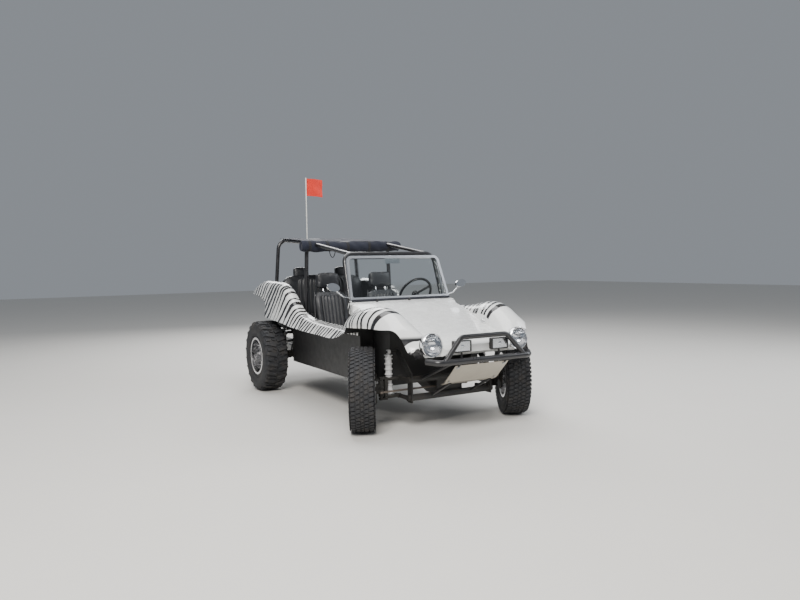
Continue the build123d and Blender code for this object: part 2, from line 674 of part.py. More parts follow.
def shock(x, y, low, high, y_high):
    a, b = Vector(x, y, low), Vector(x, y_high, high)
    d = (b - a).normalized()
    lower, upper = a + d * 26, b - d * 26
    body = rod((x - 12, y, low), (x + 12, y, low), 20) + rod((x - 12, y_high, high), (x + 12, y_high, high), 20)
    body += rod(a + d * 12, b - d * 12, 10)
    length = (upper - lower).length
    pitch = (length - 16) / shock_turns
    profile = [(0, 0), (36, 0), (36, 6), (27, 6)]
    for k in range(shock_turns):
        z = 6 + (k + 0.5) * pitch
        profile += [(27, z - 6), (35, z - 3), (35, z + 3), (27, z + 6)]
    profile += [(27, length - 6), (36, length - 6), (36, length), (0, length)]
    body += Plane(origin=lower, z_dir=d) * revolve(Plane.XZ * make_face(Polyline(profile, close=True)), Axis.Z)
    body -= rod((x - 20, y, low), (x + 20, y, low), 9) + rod((x - 20, y_high, high), (x + 20, y_high, high), 9)
    return body


front_shock = shock(front_shock_x, shock_back, beam_low - 4, 650, shock_back)
rear_shock = shock(shock_x, wheelbase + 82, 335, 655, wheelbase + 72)
save("shocks", front_shock, mirrored(front_shock), rear_shock, mirrored(rear_shock))


def knuckle(stud_up):
    z0 = front_tyre_radius - knuckle_height / 2
    body = rod((kingpin_x, 0, z0), (kingpin_x, 0, z0 + knuckle_height), 24)
    body += box(kingpin_x, kingpin_x + 40, -22, 22, front_tyre_radius - 40, front_tyre_radius + 40)
    body += rod((kingpin_x + 36, 0, front_tyre_radius), (kingpin_x + 44, 0, front_tyre_radius), backing_radius)
    body += rod((kingpin_x + 40, 0, front_tyre_radius), (front_disc_x - 4, 0, front_tyre_radius), spindle_radius)
    body += box(kingpin_x - 14, kingpin_x + 14, -steer_arm, -10, front_tyre_radius - 5, front_tyre_radius + 5)
    body += rod((kingpin_x, -steer_arm, front_tyre_radius - 5), (kingpin_x, -steer_arm, front_tyre_radius + 5), 16)
    top = front_tyre_radius + (24 if stud_up else -24)
    body += rod((kingpin_x, -steer_arm, front_tyre_radius), (kingpin_x, -steer_arm, top), stud_radius)
    body -= rod((kingpin_x, 0, z0 - 1), (kingpin_x, 0, z0 + knuckle_height + 1), kingpin_radius + kingpin_fit)
    return body


save("knuckle_left", steered(knuckle(True), kingpin_x))
save("knuckle_right", steered(mirrored(knuckle(False)), -kingpin_x))

arm_z = front_tyre_radius - 5
pitman = rod((pitman_x, 0, arm_z), (pitman_x, 0, front_tyre_radius + 12.5), 20)
pitman += box(pitman_x - 13, pitman_x + 13, -steer_arm, -8, arm_z, arm_z + 10)
pitman += rod((pitman_x, -steer_arm, arm_z), (pitman_x, -steer_arm, arm_z + 10), 16)
pitman += rod((pitman_x, -steer_arm, arm_z - 19), (pitman_x, -steer_arm, arm_z + 29), stud_radius)
save("pitman_arm", steered(pitman, pitman_x))


def tie_rod(x0, x1, z):
    body = rod((x0, -steer_arm, z), (x1, -steer_arm, z), rod_radius)
    for x in (x0, x1):
        body += rod((x, -steer_arm, z - 9), (x, -steer_arm, z + 9), 15)
    for x in (x0, x1):
        body -= rod((x, -steer_arm, z - 10), (x, -steer_arm, z + 10), stud_radius + stud_fit)
    return body


turn = math.radians(rest_steer)
carried = Pos(steer_arm * math.sin(turn), steer_arm * (1 - math.cos(turn)), 0)
save("tie_rod_left", carried * tie_rod(pitman_x, kingpin_x, front_tyre_radius + 14.5))
save("tie_rod_right", carried * tie_rod(-kingpin_x, pitman_x, front_tyre_radius - 14.5))

# Rear axle: torsion housing, gearbox, axle tubes, plates and engine carrier
rear = rod((-torsion_half, torsion_y, torsion_z), (torsion_half, torsion_y, torsion_z), torsion_tube)
rear += box(-90, 90, pan_rear, torsion_y, 362, 430)
gearbox = loft([across(y) * Circle(r) for y, r in ((torsion_y + 20, 60), (wheelbase - 90, 95), (wheelbase + 60, 120),
                                                   (engine_front, 150))], ruled=True)
rear += Pos(0, 0, rear_tyre_radius + 8) * gearbox
rear += rod((-160, wheelbase, rear_tyre_radius), (160, wheelbase, rear_tyre_radius), 105)
rear += rod((-axle_flange_x, wheelbase, rear_tyre_radius), (axle_flange_x, wheelbase, rear_tyre_radius), axle_tube)
for s in (-1, 1):
    rear += rod((s * 185, torsion_y, torsion_z), (s * 185, engine_front, torsion_z - 40), 26)
    rear += plate_yz([(torsion_y - 50, torsion_z - 45), (wheelbase + 45, rear_tyre_radius - 50),
                      (wheelbase + 105, 318), (wheelbase + 105, 352), (wheelbase + 45, rear_tyre_radius + 50),
                      (torsion_y - 50, torsion_z + 45)], s * torsion_half - 7, s * torsion_half + 7)
    rear += rod((s * torsion_half, wheelbase + 82, 335), (s * (shock_x + 20), wheelbase + 82, 335), 9)
    rear += rod((s * 420, torsion_y, torsion_z), (s * 420, wheelbase + 72, 655), 16)
    rear += rod((s * 420, wheelbase + 72, 655), (s * (shock_x + 20), wheelbase + 72, 655), 9)
    rear += rod((s * axle_flange_x, wheelbase, rear_tyre_radius),
                (s * (axle_flange_x + 8), wheelbase, rear_tyre_radius), backing_radius)
    rear += rod((s * axle_flange_x, wheelbase, rear_tyre_radius),
                (s * (rear_disc_x - 4), wheelbase, rear_tyre_radius), spindle_radius)
save("rear_axle", rear)

# Engine: open flat four with finned cylinders, heads, covers, fan housing and pulleys
ey0, ey1 = engine_front, engine_front + engine_length
ez = crank_z
case = box(-130, 130, ey0, ey1, ez - 120, ez + 130)
case = fillet(case.edges().filter_by(Axis.Y), 40)
case += box(-100, 100, ey0 + 60, ey1 - 60, ez - 160, ez - 118)
for s in (-1, 1):
    for cy in (ey0 + 95, ey1 - 95):
        case += rod((s * 120, cy, ez + 15), (s * 300, cy, ez + 15), 52)
        for k in range(fin_count):
            x = s * (145 + k * 16)
            case += rod((x - 3, cy, ez + 15), (x + 3, cy, ez + 15), 72)
    head = box(min(s * 262, s * 345), max(s * 262, s * 345), ey0 + 15, ey1 - 15, ez - 62, ez + 92)
    cover = box(min(s * 344, s * 392), max(s * 344, s * 392), ey0 + 30, ey1 - 30, ez - 55, ez + 40)
    case += head + fillet(cover.edges().group_by(Axis.X)[-1 if s > 0 else 0], 18)
pulley = rod((0, ey1 - 5, ez), (0, ey1 + 60, ez), 22) + rod((0, ey1 + 30, ez), (0, ey1 + 52, ez), 88)
case += pulley
save("engine", case)
fy = ey0 + 70
housing = extrude(across(fy + 110) * make_face([
    Line((-250, ez + 108), (250, ez + 108)), Line((250, ez + 108), (250, ez + 250)),
    ThreePointArc((250, ez + 250), (0, ez + 430), (-250, ez + 250)), Line((-250, ez + 250), (-250, ez + 108)),
]), 110)
housing = fillet(housing.edges().group_by(Axis.Y)[-1] + housing.edges().group_by(Axis.Y)[0], 16)
housing -= box(-131, 131, ey0, ey1, ez + 90, ez + 131)
dyno = rod((0, fy + 108, ez + 270), (0, ey1 + 5, ez + 270), 58)
dyno += rod((0, ey1, ez + 270), (0, ey1 + 50, ez + 270), 12) + rod((0, ey1 + 30, ez + 270), (0, ey1 + 48, ez + 270), 62)
dyno += box(-40, 40, fy + 140, ey1 - 10, ez + 130, ez + 225)
cleaner = rod((-40, ey1 - 150, ez + 392), (-40, ey1 - 150, ez + 470), 92)
cleaner += rod((-40, ey1 - 150, ez + 300), (-40, ey1 - 150, ez + 393), 22)
save("engine_cooling", housing + dyno + cleaner)

# Exhaust: four header tubes into a cross muffler with one outlet
exhaust = rod((-230, muffler_y, muffler_z), (230, muffler_y, muffler_z), 62)
for s in (-1, 1):
    exhaust += tube([(s * 305, ey1 - 95, ez - 62), (s * 305, ey1 - 95, ez - 125), (s * 305, muffler_y, ez - 125),
                     (s * 200, muffler_y, muffler_z)], 19, 28)
    exhaust += tube([(s * 305, ey0 + 95, ez - 62), (s * 305, ey0 + 95, ez - 140), (s * 255, ey1 - 60, ez - 150),
                     (s * 150, muffler_y, muffler_z)], 19, 28)
exhaust += rod((120, muffler_y, muffler_z), (120, muffler_y + 75, muffler_z + 30), 24)
exhaust -= case
save("exhaust", exhaust)

# Rear guard: hoop around the engine with uprights to the deck
guard = tube([(-guard_half, guard_front, guard_z - 60), (-guard_half, guard_y, guard_z), (guard_half, guard_y, guard_z),
              (guard_half, guard_front, guard_z - 60)], guard_tube, 90)
for s in (-1, 1):
    guard += rod((s * (guard_half - 110), guard_y, guard_z), (s * (guard_half - 110), guard_y, 985), guard_tube - 3)
    guard += rod((s * guard_half, guard_front + 10, guard_z - 60), (s * (420 + 16 + guard_tube - 3 + 0.3), torsion_y + 190, 544), guard_tube - 3)
save("rear_guard", guard)

# Front bumper with its lamp loop, brackets and the folded skid plate
rail = tube([(-bumper_half - 8, -560, bumper_z + 8), (-bumper_half + 60, bumper_y, bumper_z),
             (bumper_half - 60, bumper_y, bumper_z), (bumper_half + 8, -560, bumper_z + 8)], bumper_tube, 70)
loop = tube([(-396, bumper_y, bumper_z), (-225, bumper_y + 22, loop_z), (225, bumper_y + 22, loop_z),
             (396, bumper_y, bumper_z)], loop_tube, 60)
bumper = rail
for s in (-1, 1):
    bumper += rod((s * 300, bumper_y, bumper_z), (s * 300, beam_y, beam_high), 14)
    bumper += rod((s * fog_x, bumper_y, bumper_z), (s * fog_x, fog_back - 20, bumper_z), 9)
    bumper += rod((s * fog_x, fog_back - 20, bumper_z - 8), (s * fog_x, fog_back - 20, fog_z - fog_height / 2 + 2), 8)
    bumper += rod((s * skid_bolt_x, bumper_y, bumper_z), (s * skid_bolt_x, skid_top_y + 6, skid_top_z - 10), 9)
    bumper += rod((s * 200, skid_fold_y + 6, skid_fold_z - 3), (s * 200, beam_y, beam_low), 12)
for z in (beam_low, beam_high):
    bumper -= rod((-beam_half, beam_y, z), (beam_half, beam_y, z), beam_tube)
bumper -= fogs[0] + fogs[1]
save("front_bumper", bumper)
save("lamp_loop", loop - bumper)
skid_side = [(skid_top_y - 6, skid_top_z), (skid_top_y, skid_top_z), (skid_fold_y + 4, skid_fold_z + 6),
             (skid_fold_y + 50, skid_fold_z - 14), (skid_fold_y + 48, skid_fold_z - 20), (skid_fold_y - 1, skid_fold_z)]
skid = plate_yz(skid_side, -skid_half, skid_half) - bumper
save("skid_plate", skid)

# Signal and tail lamps, mirrors
signal = Pos(-425, -60, 868) * Sphere(30) - front_shell
signal = max(signal.solids(), key=lambda part: part.bounding_box().max.Z)
save("signal_lamps", signal, mirrored(signal))
tails = [rod((s * 500, tail_y, 1022), (s * 500, tail_y + tail_lamp_depth, 1022), 42) for s in (-1, 1)]
save("tail_lamps", *tails)
mirror_right = Pos(-705, 690, 1185) * Rot(80, 0, -12) * extrude(Ellipse(62, 38), 20)
mirror_right += tube([(-536, 668, 1084), (-610, 678, 1100), (-690, 684, 1165)], 6, 20)
mirror_right = max((mirror_right - frame_ring).solids(), key=lambda part: part.volume)
inner_mirror = box(-80, 80, 828, 838, 1395, 1440) + rod((0, 838, 1430), (0, front_hoop_y - 10, rail_z[0] - 14), 6)
inner_mirror -= front_hoop
save("mirrors", mirror_right, mirrored(mirror_right), inner_mirror)

# Whip pole and its flag
whip = rod((whip_x, whip_y, 1150), (whip_x, whip_y, whip_top), whip_radius)
whip += rod((whip_x, whip_y, 1150), (whip_x, whip_y, 1240), 16)
save("whip_pole", whip - deck_below)
flag = box(whip_x + whip_radius + 0.3, whip_x + whip_radius + 0.3 + flag_width, whip_y - 3, whip_y + 3,
           whip_top - flag_height - 10, whip_top - 10)
save("whip_flag", flag)


# Wheels: tyre carcasses of flat-sided rings, blocks on the rear pair and a grooved front pair
def carcass(stations, rim_radius, sides):
    rows = [(-x, radius) for x, radius in reversed(stations)] + stations
    step = 2 * math.pi / sides
    rings = []
    for x, radius in rows:
        reach = radius / math.cos(step / 2)
        turns = [step * (k + 0.5) for k in range(sides)]
        rings.append([Vector(x, reach * math.sin(a), reach * math.cos(a)) for a in turns])
    flats = [Face(Wire.make_polygon(rings[0])), Face(Wire.make_polygon(rings[-1]))]
    for low, high in zip(rings, rings[1:]):
        for k in range(sides):
            flats.append(Face(Wire.make_polygon([low[k - 1], low[k], high[k], high[k - 1]])))
    bead = stations[-1][0] + 1.0
    return Solid(Shell(flats)) - rod((-bead, 0, 0), (bead, 0, 0), rim_radius)


def front_tyre_form():
    crown, half = front_tyre_radius, front_tyre_width / 2
    low = front_rim_radius + 16.0
    groove = crown - front_groove
    stations = [(5.0, groove), (10.0, crown), (half * 0.72, crown - 1.0), (half * 0.85, crown - 16.0),
                (half, (low + crown) / 2 - 10.0), (front_bead, low)]
    return carcass(stations, front_rim_radius, front_sides)


def rear_tyre_form():
    crown, half = rear_tyre_radius, rear_tyre_width / 2
    low, floor = rear_rim_radius + 16.0, crown - lug_height
    stations = [(half * 0.82, floor - 9.0), (half - 2.0, floor - 45.0), (half, (low + floor) / 2 - 5.0), (rear_bead, low)]
    body = carcass(stations, rear_rim_radius, rear_sides)
    outline = [(6, floor - 12), (6, crown), (half * 0.77, crown), (half * 0.92, crown - 18),
               (half - 4, floor - 26), (half * 0.65, floor - 30)]
    blocks = []
    for side in (1, -1):
        profile = make_face(Polyline([(side * x, z) for x, z in outline], close=True))
        block = extrude(Plane.XZ * profile, lug_length / 2, both=True)
        middle = side * half * 0.44
        block = Pos(middle, 0, 0) * Rot(0, 0, side * lug_skew) * Pos(-middle, 0, 0) * block
        for k in range(rear_lug_count):
            turn = 360.0 / rear_lug_count * (k + (0.0 if side > 0 else 0.5))
            blocks.append(Rot(turn + 180.0, 0, 0) * block)
    return body.fuse(*blocks)


def rim(rim_radius, half, disc, drum_depth):
    wall = rim_wall
    barrel = make_face(Polyline([
        (-half - 8, rim_radius + rim_lip), (-half - 8, rim_radius - wall), (half + 8, rim_radius - wall),
        (half + 8, rim_radius + rim_lip), (half, rim_radius + rim_lip), (half, rim_radius),
        (-half, rim_radius), (-half, rim_radius + rim_lip)], close=True))
    body = revolve(barrel, Axis.X)
    plate = rod((disc, 0, 0), (disc + 8, 0, 0), rim_radius - wall + 1)
    for k in range(spoke_count):
        a = 360.0 / spoke_count * (k + 0.5)
        window = Rot(a, 0, 0) * (Pos(disc + 4, 0, 126) * Box(40, 62, 70))
        plate -= window
    body += plate
    body += rod((disc - drum_depth, 0, 0), (disc + 1, 0, 0), drum_radius)
    body += rod((disc + 7, 0, 0), (disc + 50, 0, 0), hub_radius)
    body -= rod((disc - drum_depth - 1, 0, 0), (disc - 2, 0, 0), spindle_radius + spindle_fit)
    return body


def place(shape, x, y, radius):
    return Pos(x, y, radius) * shape


front_disc = front_disc_x - front_half_track
rear_disc = rear_disc_x - rear_half_track
front_tyre = place(front_tyre_form(), front_half_track, 0, front_tyre_radius)
rear_tyre = place(rear_tyre_form(), rear_half_track, wheelbase, rear_tyre_radius)
front_rim = place(rim(front_rim_radius, front_bead, front_disc, front_disc_x - kingpin_x - 49.5), front_half_track,
                  0, front_tyre_radius)
rear_rim = place(rim(rear_rim_radius, rear_bead, rear_disc, rear_disc_x - axle_flange_x - 13), rear_half_track,
                 wheelbase, rear_tyre_radius)
save("tyre_front_left", steered(front_tyre, kingpin_x))
save("tyre_front_right", steered(mirrored(front_tyre), -kingpin_x))
save("tyre_rear_left", rear_tyre)
save("tyre_rear_right", mirrored(rear_tyre))
save("rim_front_left", steered(front_rim, kingpin_x))
save("rim_front_right", steered(mirrored(front_rim), -kingpin_x))
save("rim_rear_left", rear_rim)
save("rim_rear_right", mirrored(rear_rim))
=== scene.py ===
import math
import random
from collections import namedtuple
from functools import reduce

import bmesh
import bpy
from bpy.props import FloatProperty, FloatVectorProperty, IntProperty, PointerProperty
from mathutils import Matrix, Vector


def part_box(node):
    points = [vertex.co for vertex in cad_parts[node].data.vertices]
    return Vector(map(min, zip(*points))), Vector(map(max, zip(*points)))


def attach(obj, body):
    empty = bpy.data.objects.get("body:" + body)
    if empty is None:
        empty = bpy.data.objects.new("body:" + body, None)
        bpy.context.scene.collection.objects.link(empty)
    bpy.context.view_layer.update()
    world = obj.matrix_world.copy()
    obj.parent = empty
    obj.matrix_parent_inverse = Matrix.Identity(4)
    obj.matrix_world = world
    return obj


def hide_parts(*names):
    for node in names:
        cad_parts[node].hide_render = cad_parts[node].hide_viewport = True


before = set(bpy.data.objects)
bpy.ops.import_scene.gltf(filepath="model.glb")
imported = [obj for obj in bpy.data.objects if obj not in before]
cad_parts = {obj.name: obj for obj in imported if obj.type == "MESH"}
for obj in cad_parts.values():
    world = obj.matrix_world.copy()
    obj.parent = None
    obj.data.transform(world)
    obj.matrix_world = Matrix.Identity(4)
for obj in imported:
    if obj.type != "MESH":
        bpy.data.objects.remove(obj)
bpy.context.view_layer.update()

bl_info = {
    "name": "Dune buggy dressing",
    "version": (1, 0, 0),
    "blender": (4, 5, 0),
    "location": "View3D > Sidebar > Buggy",
    "description": "Dresses the packed dune buggy with tyres, seats, cloth, lamps, trim and finishes",
    "category": "Object",
}

# Where the front axle lies along Y in the frame, in metres
AXLE_Y = -1.216
LEFT, RIGHT = 1.0, -1.0
SIDES = (("left", LEFT), ("right", RIGHT))

# The front wheels are held turned, each about its own kingpin
WHEEL_TURN = math.radians(-28.0)
KINGPIN_X = 0.600

# Middle and outline of the wheels, in metres; bead is half the rim's width, face where the nuts sit
Wheel = namedtuple("Wheel", "x y radius half bead face")
WHEELS = {"front": Wheel(0.755, 0.0, 0.355, 0.1075, 0.084, 0.720),
          "rear": Wheel(0.760, 2.400, 0.387, 0.1325, 0.108, 0.708)}
RIM_RADIUS = 0.192

# A rear lug's length round the tyre in metres, its lean, and the share of the half width it leans about
LUG_RUN, LUG_LEAN, LUG_MIDDLE = 0.040, math.radians(16.0), 0.44

# The painted bands: where the side's row ends at each fender, where the nose turns bare, and the pace of
# the fenders' own rows against the side's
BAND_FRONT, BAND_REAR, NOSE_BARE = -0.776, 0.534, -1.37
FRONT_PACE, REAR_PACE = 0.80, 0.70

# Seat pads: the power that rounds them, and as shares of the half size where their raised edges begin,
# where the seam round the sides lies and how far from it the cover is held
SQUARE, RAISED_FROM, SIDE_SEAM, SIDE_SEAM_WIDTH = 5, 0.62, 0.55, 0.12

# A pleated field as shares of a pad's half length and half width, the last seam across it, and how deep
# in metres the seams are sewn in
FIELD_LENGTH, FIELD_WIDTH, LAST_SEAM, PLEAT_DEPTH = 0.90, 0.70, 0.64, 0.009

# Frames in which the covers swell
SWELL_FRAMES = 20

# Where web straps hold the rolled top, along X
STRAPS = (-0.50, -0.30, -0.06, 0.20, 0.44)

# The area lights: name, place, side, power in watts and tone
LIGHTS = (("key", (-4.5, -6.5, 6.5), 3.2, 960.0, (1.0, 0.97, 0.93)),
          ("fill", (6.5, -3.5, 4.5), 4.5, 260.0, (0.93, 0.96, 1.0)),
          ("back", (1.5, 6.5, 5.0), 4.0, 340.0, (1.0, 1.0, 1.0)),
          ("top", (0.0, 0.0, 7.0), 5.0, 320.0, (1.0, 1.0, 1.0)))
LIT_SPOT = Vector((0.0, 0.0, 0.7))
SKY, SKY_STRENGTH = (0.80, 0.86, 0.94, 1.0), 0.32

# The camera that was fitted to the photograph: its place as at() takes it, and its angles in degrees
EYE_SPOT = (-3266.6, -4913.2, 1400.9)
EYE_TURN, EYE_LIFT, EYE_ROLL = -30.23, 3.15, -0.92


def at(x, y, z):
    """A point given in millimetres from the front axle's middle on the ground, in the frame's metres."""
    return Vector((x / 1000.0, y / 1000.0 + AXLE_Y, z / 1000.0))


# Settings that a user would change

def colour(name, description, default):
    return FloatVectorProperty(name=name, description=description, subtype="COLOR", size=3, min=0.0, max=1.0,
                               default=default)


def length(name, description, default):
    return FloatProperty(name=name, description=description, default=default, min=0.0, unit="LENGTH",
                         subtype="DISTANCE")


class ShellSettings(bpy.types.PropertyGroup):
    white: colour("Gelcoat", "Colour of the shell's gelcoat", (0.86, 0.87, 0.86))
    stripe: colour("Stripe", "Colour of the painted stripes", (0.012, 0.012, 0.014))
    tub: colour("Tub", "Colour of the tub and inner panels", (0.012, 0.012, 0.013))
    dust: colour("Dust", "Colour of the sand dust", (0.50, 0.40, 0.28))
    spacing: length("Stripe spacing", "Distance from one stripe to the next", 0.062)


class MetalSettings(bpy.types.PropertyGroup):
    cage: colour("Cage", "Powder coat on the cage and bumper", (0.012, 0.012, 0.014))
    screen: colour("Screen frame", "Satin metal of the windscreen frame", (0.50, 0.52, 0.55))
    wheel: colour("Wheel", "Polished metal of the rims", (0.70, 0.70, 0.71))
    # Bare aluminium; the warm tint of this colour is a painted reflection of the sand
    skid: colour("Skid plate", "Bare metal of the skid plate", (0.62, 0.58, 0.50))
    alloy: colour("Engine alloy", "Cast metal of the engine", (0.36, 0.36, 0.36))


class TyreSettings(bpy.types.PropertyGroup):
    rubber: colour("Rubber", "Colour of the tyres' rubber", (0.014, 0.015, 0.018))
    front_depth: length("Front tread depth", "Depth of the front tread", 0.010)
    rear_depth: length("Rear lug depth", "Depth of the rear lugs", 0.016)
    front_blocks: IntProperty(name="Front blocks", description="Tread blocks in each front row", default=56,
                              min=8)
    rear_lugs: IntProperty(name="Rear lugs", description="Lugs in each rear row", default=22, min=8)


class ClothSettings(bpy.types.PropertyGroup):
    vinyl: colour("Seat vinyl", "Colour of the seats' covers", (0.008, 0.009, 0.012))
    # The top's cloth is black; the blue in this colour is painted sky light on it
    canvas: colour("Canvas", "Colour of the top's cloth", (0.007, 0.010, 0.024))
    flag: colour("Flag", "Colour of the whip's flag", (0.70, 0.028, 0.012))
    pressure: FloatProperty(name="Filling pressure", description="Pressure of the filling under a cover",
                            default=4.0, min=0.0)


class StageSettings(bpy.types.PropertyGroup):
    floor: colour("Floor", "Colour of the floor", (0.74, 0.72, 0.68))
    lens: FloatProperty(name="Lens", description="Focal length in millimetres", default=30.42, min=10.0,
                        unit="CAMERA")
    floor_span: length("Floor span", "Side of the square floor", 60.0)


SETTINGS = (("buggy_shell", ShellSettings), ("buggy_metal", MetalSettings), ("buggy_tyres", TyreSettings),
            ("buggy_cloth", ClothSettings), ("buggy_stage", StageSettings))


# Node helpers

def rgba(c, share=1.0, lift=0.0):
    """A colour for a socket, darker or brighter by a share and lifted, up to white."""
    return (*[min(1.0, part * share + lift) for part in c], 1.0)


GROUPS = {}


class Tree:
    """Short ways to add nodes and wires to one node tree."""

    def __init__(self, tree):
        self.tree = tree
        self.column = 0

    def put(self, value, node, key):
        """Wires a socket to a node's input, or sets the input to a constant."""
        if isinstance(value, bpy.types.NodeSocket):
            self.tree.links.new(value, node.inputs[key])
        else:
            node.inputs[key].default_value = value

    def add(self, kind, values=None, **attributes):
        node = self.tree.nodes.new(kind)
        self.column += 1
        node.location = (-220.0 * (self.column % 12), -180.0 * (self.column // 12))
        for key, value in attributes.items():
            setattr(node, key, value)
        for key, value in (values or {}).items():
            self.put(value, node, key)
        return node

    def place(self):
        return self.add("ShaderNodeTexCoord").outputs["Object"]

    def group(self, name, **values):
        return self.add("ShaderNodeGroup", values, node_tree=GROUPS[name])

    def maths(self, operation, a, b=0.5, clamp=False):
        return self.add("ShaderNodeMath", {0: a, 1: b}, operation=operation, use_clamp=clamp).outputs[0]

    def plus(self, *values):
        return reduce(lambda a, b: self.maths("ADD", a, b), values)

    def minus(self, a, b):
        return self.maths("SUBTRACT", a, b)

    def times(self, *values):
        return reduce(lambda a, b: self.maths("MULTIPLY", a, b), values)

    def ramp(self, value, low, high, to_low=0.0, to_high=1.0):
        values = {"Value": value, "From Min": low, "From Max": high, "To Min": to_low, "To Max": to_high}
        return self.add("ShaderNodeMapRange", values, interpolation_type="SMOOTHSTEP").outputs["Result"]

    def mix(self, factor, a, b):
        return self.add("ShaderNodeMix", {0: factor, 6: a, 7: b}, data_type="RGBA").outputs[2]

    def noise(self, vector, scale, detail, rough):
        values = {"Vector": vector, "Scale": scale, "Detail": detail, "Roughness": rough}
        return self.add("ShaderNodeTexNoise", values).outputs["Fac"]

    def stretched(self, vector, scale):
        return self.add("ShaderNodeMapping", {"Vector": vector, "Scale": scale}).outputs[0]


def new_group(name, inputs, outputs=("Mask",)):
    """Starts a node group; its inputs, given with their defaults, are floats."""
    GROUPS[name] = group = bpy.data.node_groups.new(name, "ShaderNodeTree")
    for label, default in inputs.items():
        socket = group.interface.new_socket(name=label, in_out="INPUT", socket_type="NodeSocketFloat")
        socket.default_value = default
    for label in outputs:
        kind = "NodeSocketVector" if label == "Normal" else "NodeSocketFloat"
        group.interface.new_socket(name=label, in_out="OUTPUT", socket_type=kind)
    t = Tree(group)
    return t, t.add("NodeGroupInput").outputs, t.add("NodeGroupOutput")


def dust_group():
    """Sand dust that gathers low down and on faces that look up."""
    t, given, out = new_group("Dust gathering", {"Reach": 0.7, "Amount": 0.4})
    place = t.place()
    height = t.add("ShaderNodeSeparateXYZ", {0: place}).outputs[2]
    facing = t.add("ShaderNodeSeparateXYZ", {0: t.add("ShaderNodeNewGeometry").outputs["Normal"]}).outputs[2]
    low = t.maths("SUBTRACT", 1.0, t.maths("DIVIDE", height, given["Reach"], clamp=True), clamp=True)
    up = t.ramp(facing, 0.2, 1.0, 0.25, 1.0)
    cloud = t.ramp(t.noise(place, 9.0, 5.0, 0.6), 0.35, 0.75)
    speck = t.ramp(t.noise(place, 120.0, 2.0, 0.6), 0.3, 0.8)
    t.put(t.maths("MULTIPLY", t.times(cloud, speck, up, low), given["Amount"], clamp=True), out, "Mask")


def grain_group():
    """Fine surface grain as a normal, with a slow variation for roughness."""
    t, given, out = new_group("Surface grain", {"Scale": 300.0, "Strength": 0.1, "Depth": 0.0005},
                              ("Normal", "Variation"))
    place = t.place()
    fine = t.noise(place, given["Scale"], 3.0, 0.6)
    bump = t.add("ShaderNodeBump", {"Height": fine, "Strength": given["Strength"],
                                    "Distance": given["Depth"]})
    t.put(bump.outputs[0], out, "Normal")
    t.put(t.noise(place, 14.0, 4.0, 0.6), out, "Variation")


def weave_group():
    """Plain weave of a cloth as a height."""
    t, given, out = new_group("Cloth weave", {"Threads": 700.0}, ("Height",))
    place = t.place()
    waves = []
    for direction in ("X", "Y"):
        wave = t.add("ShaderNodeTexWave", {"Vector": place, "Scale": given["Threads"], "Distortion": 0.4},
                     bands_direction=direction)
        waves.append(wave.outputs["Fac"])
    t.put(t.maths("MAXIMUM", *waves), out, "Height")


def band_group():
    """One painted band of a row: its own lean, width and taper come from its number in the row."""
    t, given, out = new_group("One band", {"Phase": 0.0, "Step": 0.0, "Height": 0.0})
    phase, height = given["Phase"], given["Height"]
    number = t.plus(t.maths("FLOOR", phase, 0.0), given["Step"])
    luck = t.add("ShaderNodeTexWhiteNoise", {"W": number}, noise_dimensions="1D")
    lean, width, taper = t.add("ShaderNodeSeparateColor", {0: luck.outputs["Color"]}).outputs
    tilt = t.times(t.minus(lean, 0.5), 0.95)
    off = t.maths("ABSOLUTE", t.plus(t.minus(t.minus(phase, number), 0.5), t.times(tilt, height)))
    side = t.minus(t.times(t.maths("GREATER_THAN", taper, 0.40), 2.0), 1.0)
    point = t.minus(t.times(height, side), t.minus(taper, 0.35))
    narrow = t.ramp(point, -0.10, 1.05, 1.0, 0.22)
    half = t.times(t.plus(t.times(width, 0.13), 0.215), narrow)
    t.put(t.ramp(t.minus(half, off), -0.012, 0.016), out, "Mask")


def stripe_group():
    """Tapering, forking bands across the fenders and the side band."""
    t, given, out = new_group("Fender bands", {"Spacing": 0.062})
    place = t.place()
    x, y, z = t.add("ShaderNodeSeparateXYZ", {0: place}).outputs
    out_x = t.maths("ABSOLUTE", x)
    forward = t.ramp(y, -0.80, -0.68, 1.0, 0.0)
    rear = t.ramp(y, 0.45, 0.95)
    slow = t.minus(t.noise(place, 2.6, 1.0, 0.4), 0.5)
    quick = t.minus(t.noise(place, 14.0, 1.0, 0.4), 0.5)
    along = t.plus(y, t.times(t.minus(out_x, 0.6), -0.16, forward), t.times(t.minus(z, 1.0), 0.55, rear),
                   t.times(t.minus(z, 0.8), 0.20), t.times(slow, 0.11), t.times(quick, 0.016))
    band = t.maths("MINIMUM", t.maths("MAXIMUM", along, BAND_FRONT), BAND_REAR)
    ahead = t.maths("MINIMUM", t.plus(along, -BAND_FRONT), 0.0)
    behind = t.maths("MAXIMUM", t.minus(along, BAND_REAR), 0.0)
    row = t.plus(band, t.plus(t.times(ahead, FRONT_PACE), t.times(behind, REAR_PACE)))
    phase = t.maths("DIVIDE", row, given["Spacing"])
    low = t.plus(t.times(t.minus(z, 0.79), 4.5), t.times(t.minus(0.66, out_x), 3.0))
    tall = t.times(t.minus(z, 1.02), 2.3)
    front = t.times(t.minus(0.62, out_x), 3.0)
    height = t.plus(t.times(low, t.minus(1.0, t.plus(rear, forward))),
                    t.plus(t.times(tall, rear), t.times(front, forward)))
    masks = [t.group("One band", Phase=phase, Step=step, Height=height).outputs["Mask"]
             for step in (-1.0, 0.0, 1.0)]
    drawn = reduce(lambda a, b: t.maths("MAXIMUM", a, b), masks)
    bare = t.ramp(along, NOSE_BARE, NOSE_BARE + 0.02)
    corner = t.times(t.ramp(z, 0.83, 0.80), t.ramp(out_x, 0.42, 0.45))
    t.put(t.times(drawn, t.maths("MAXIMUM", bare, corner)), out, "Mask")


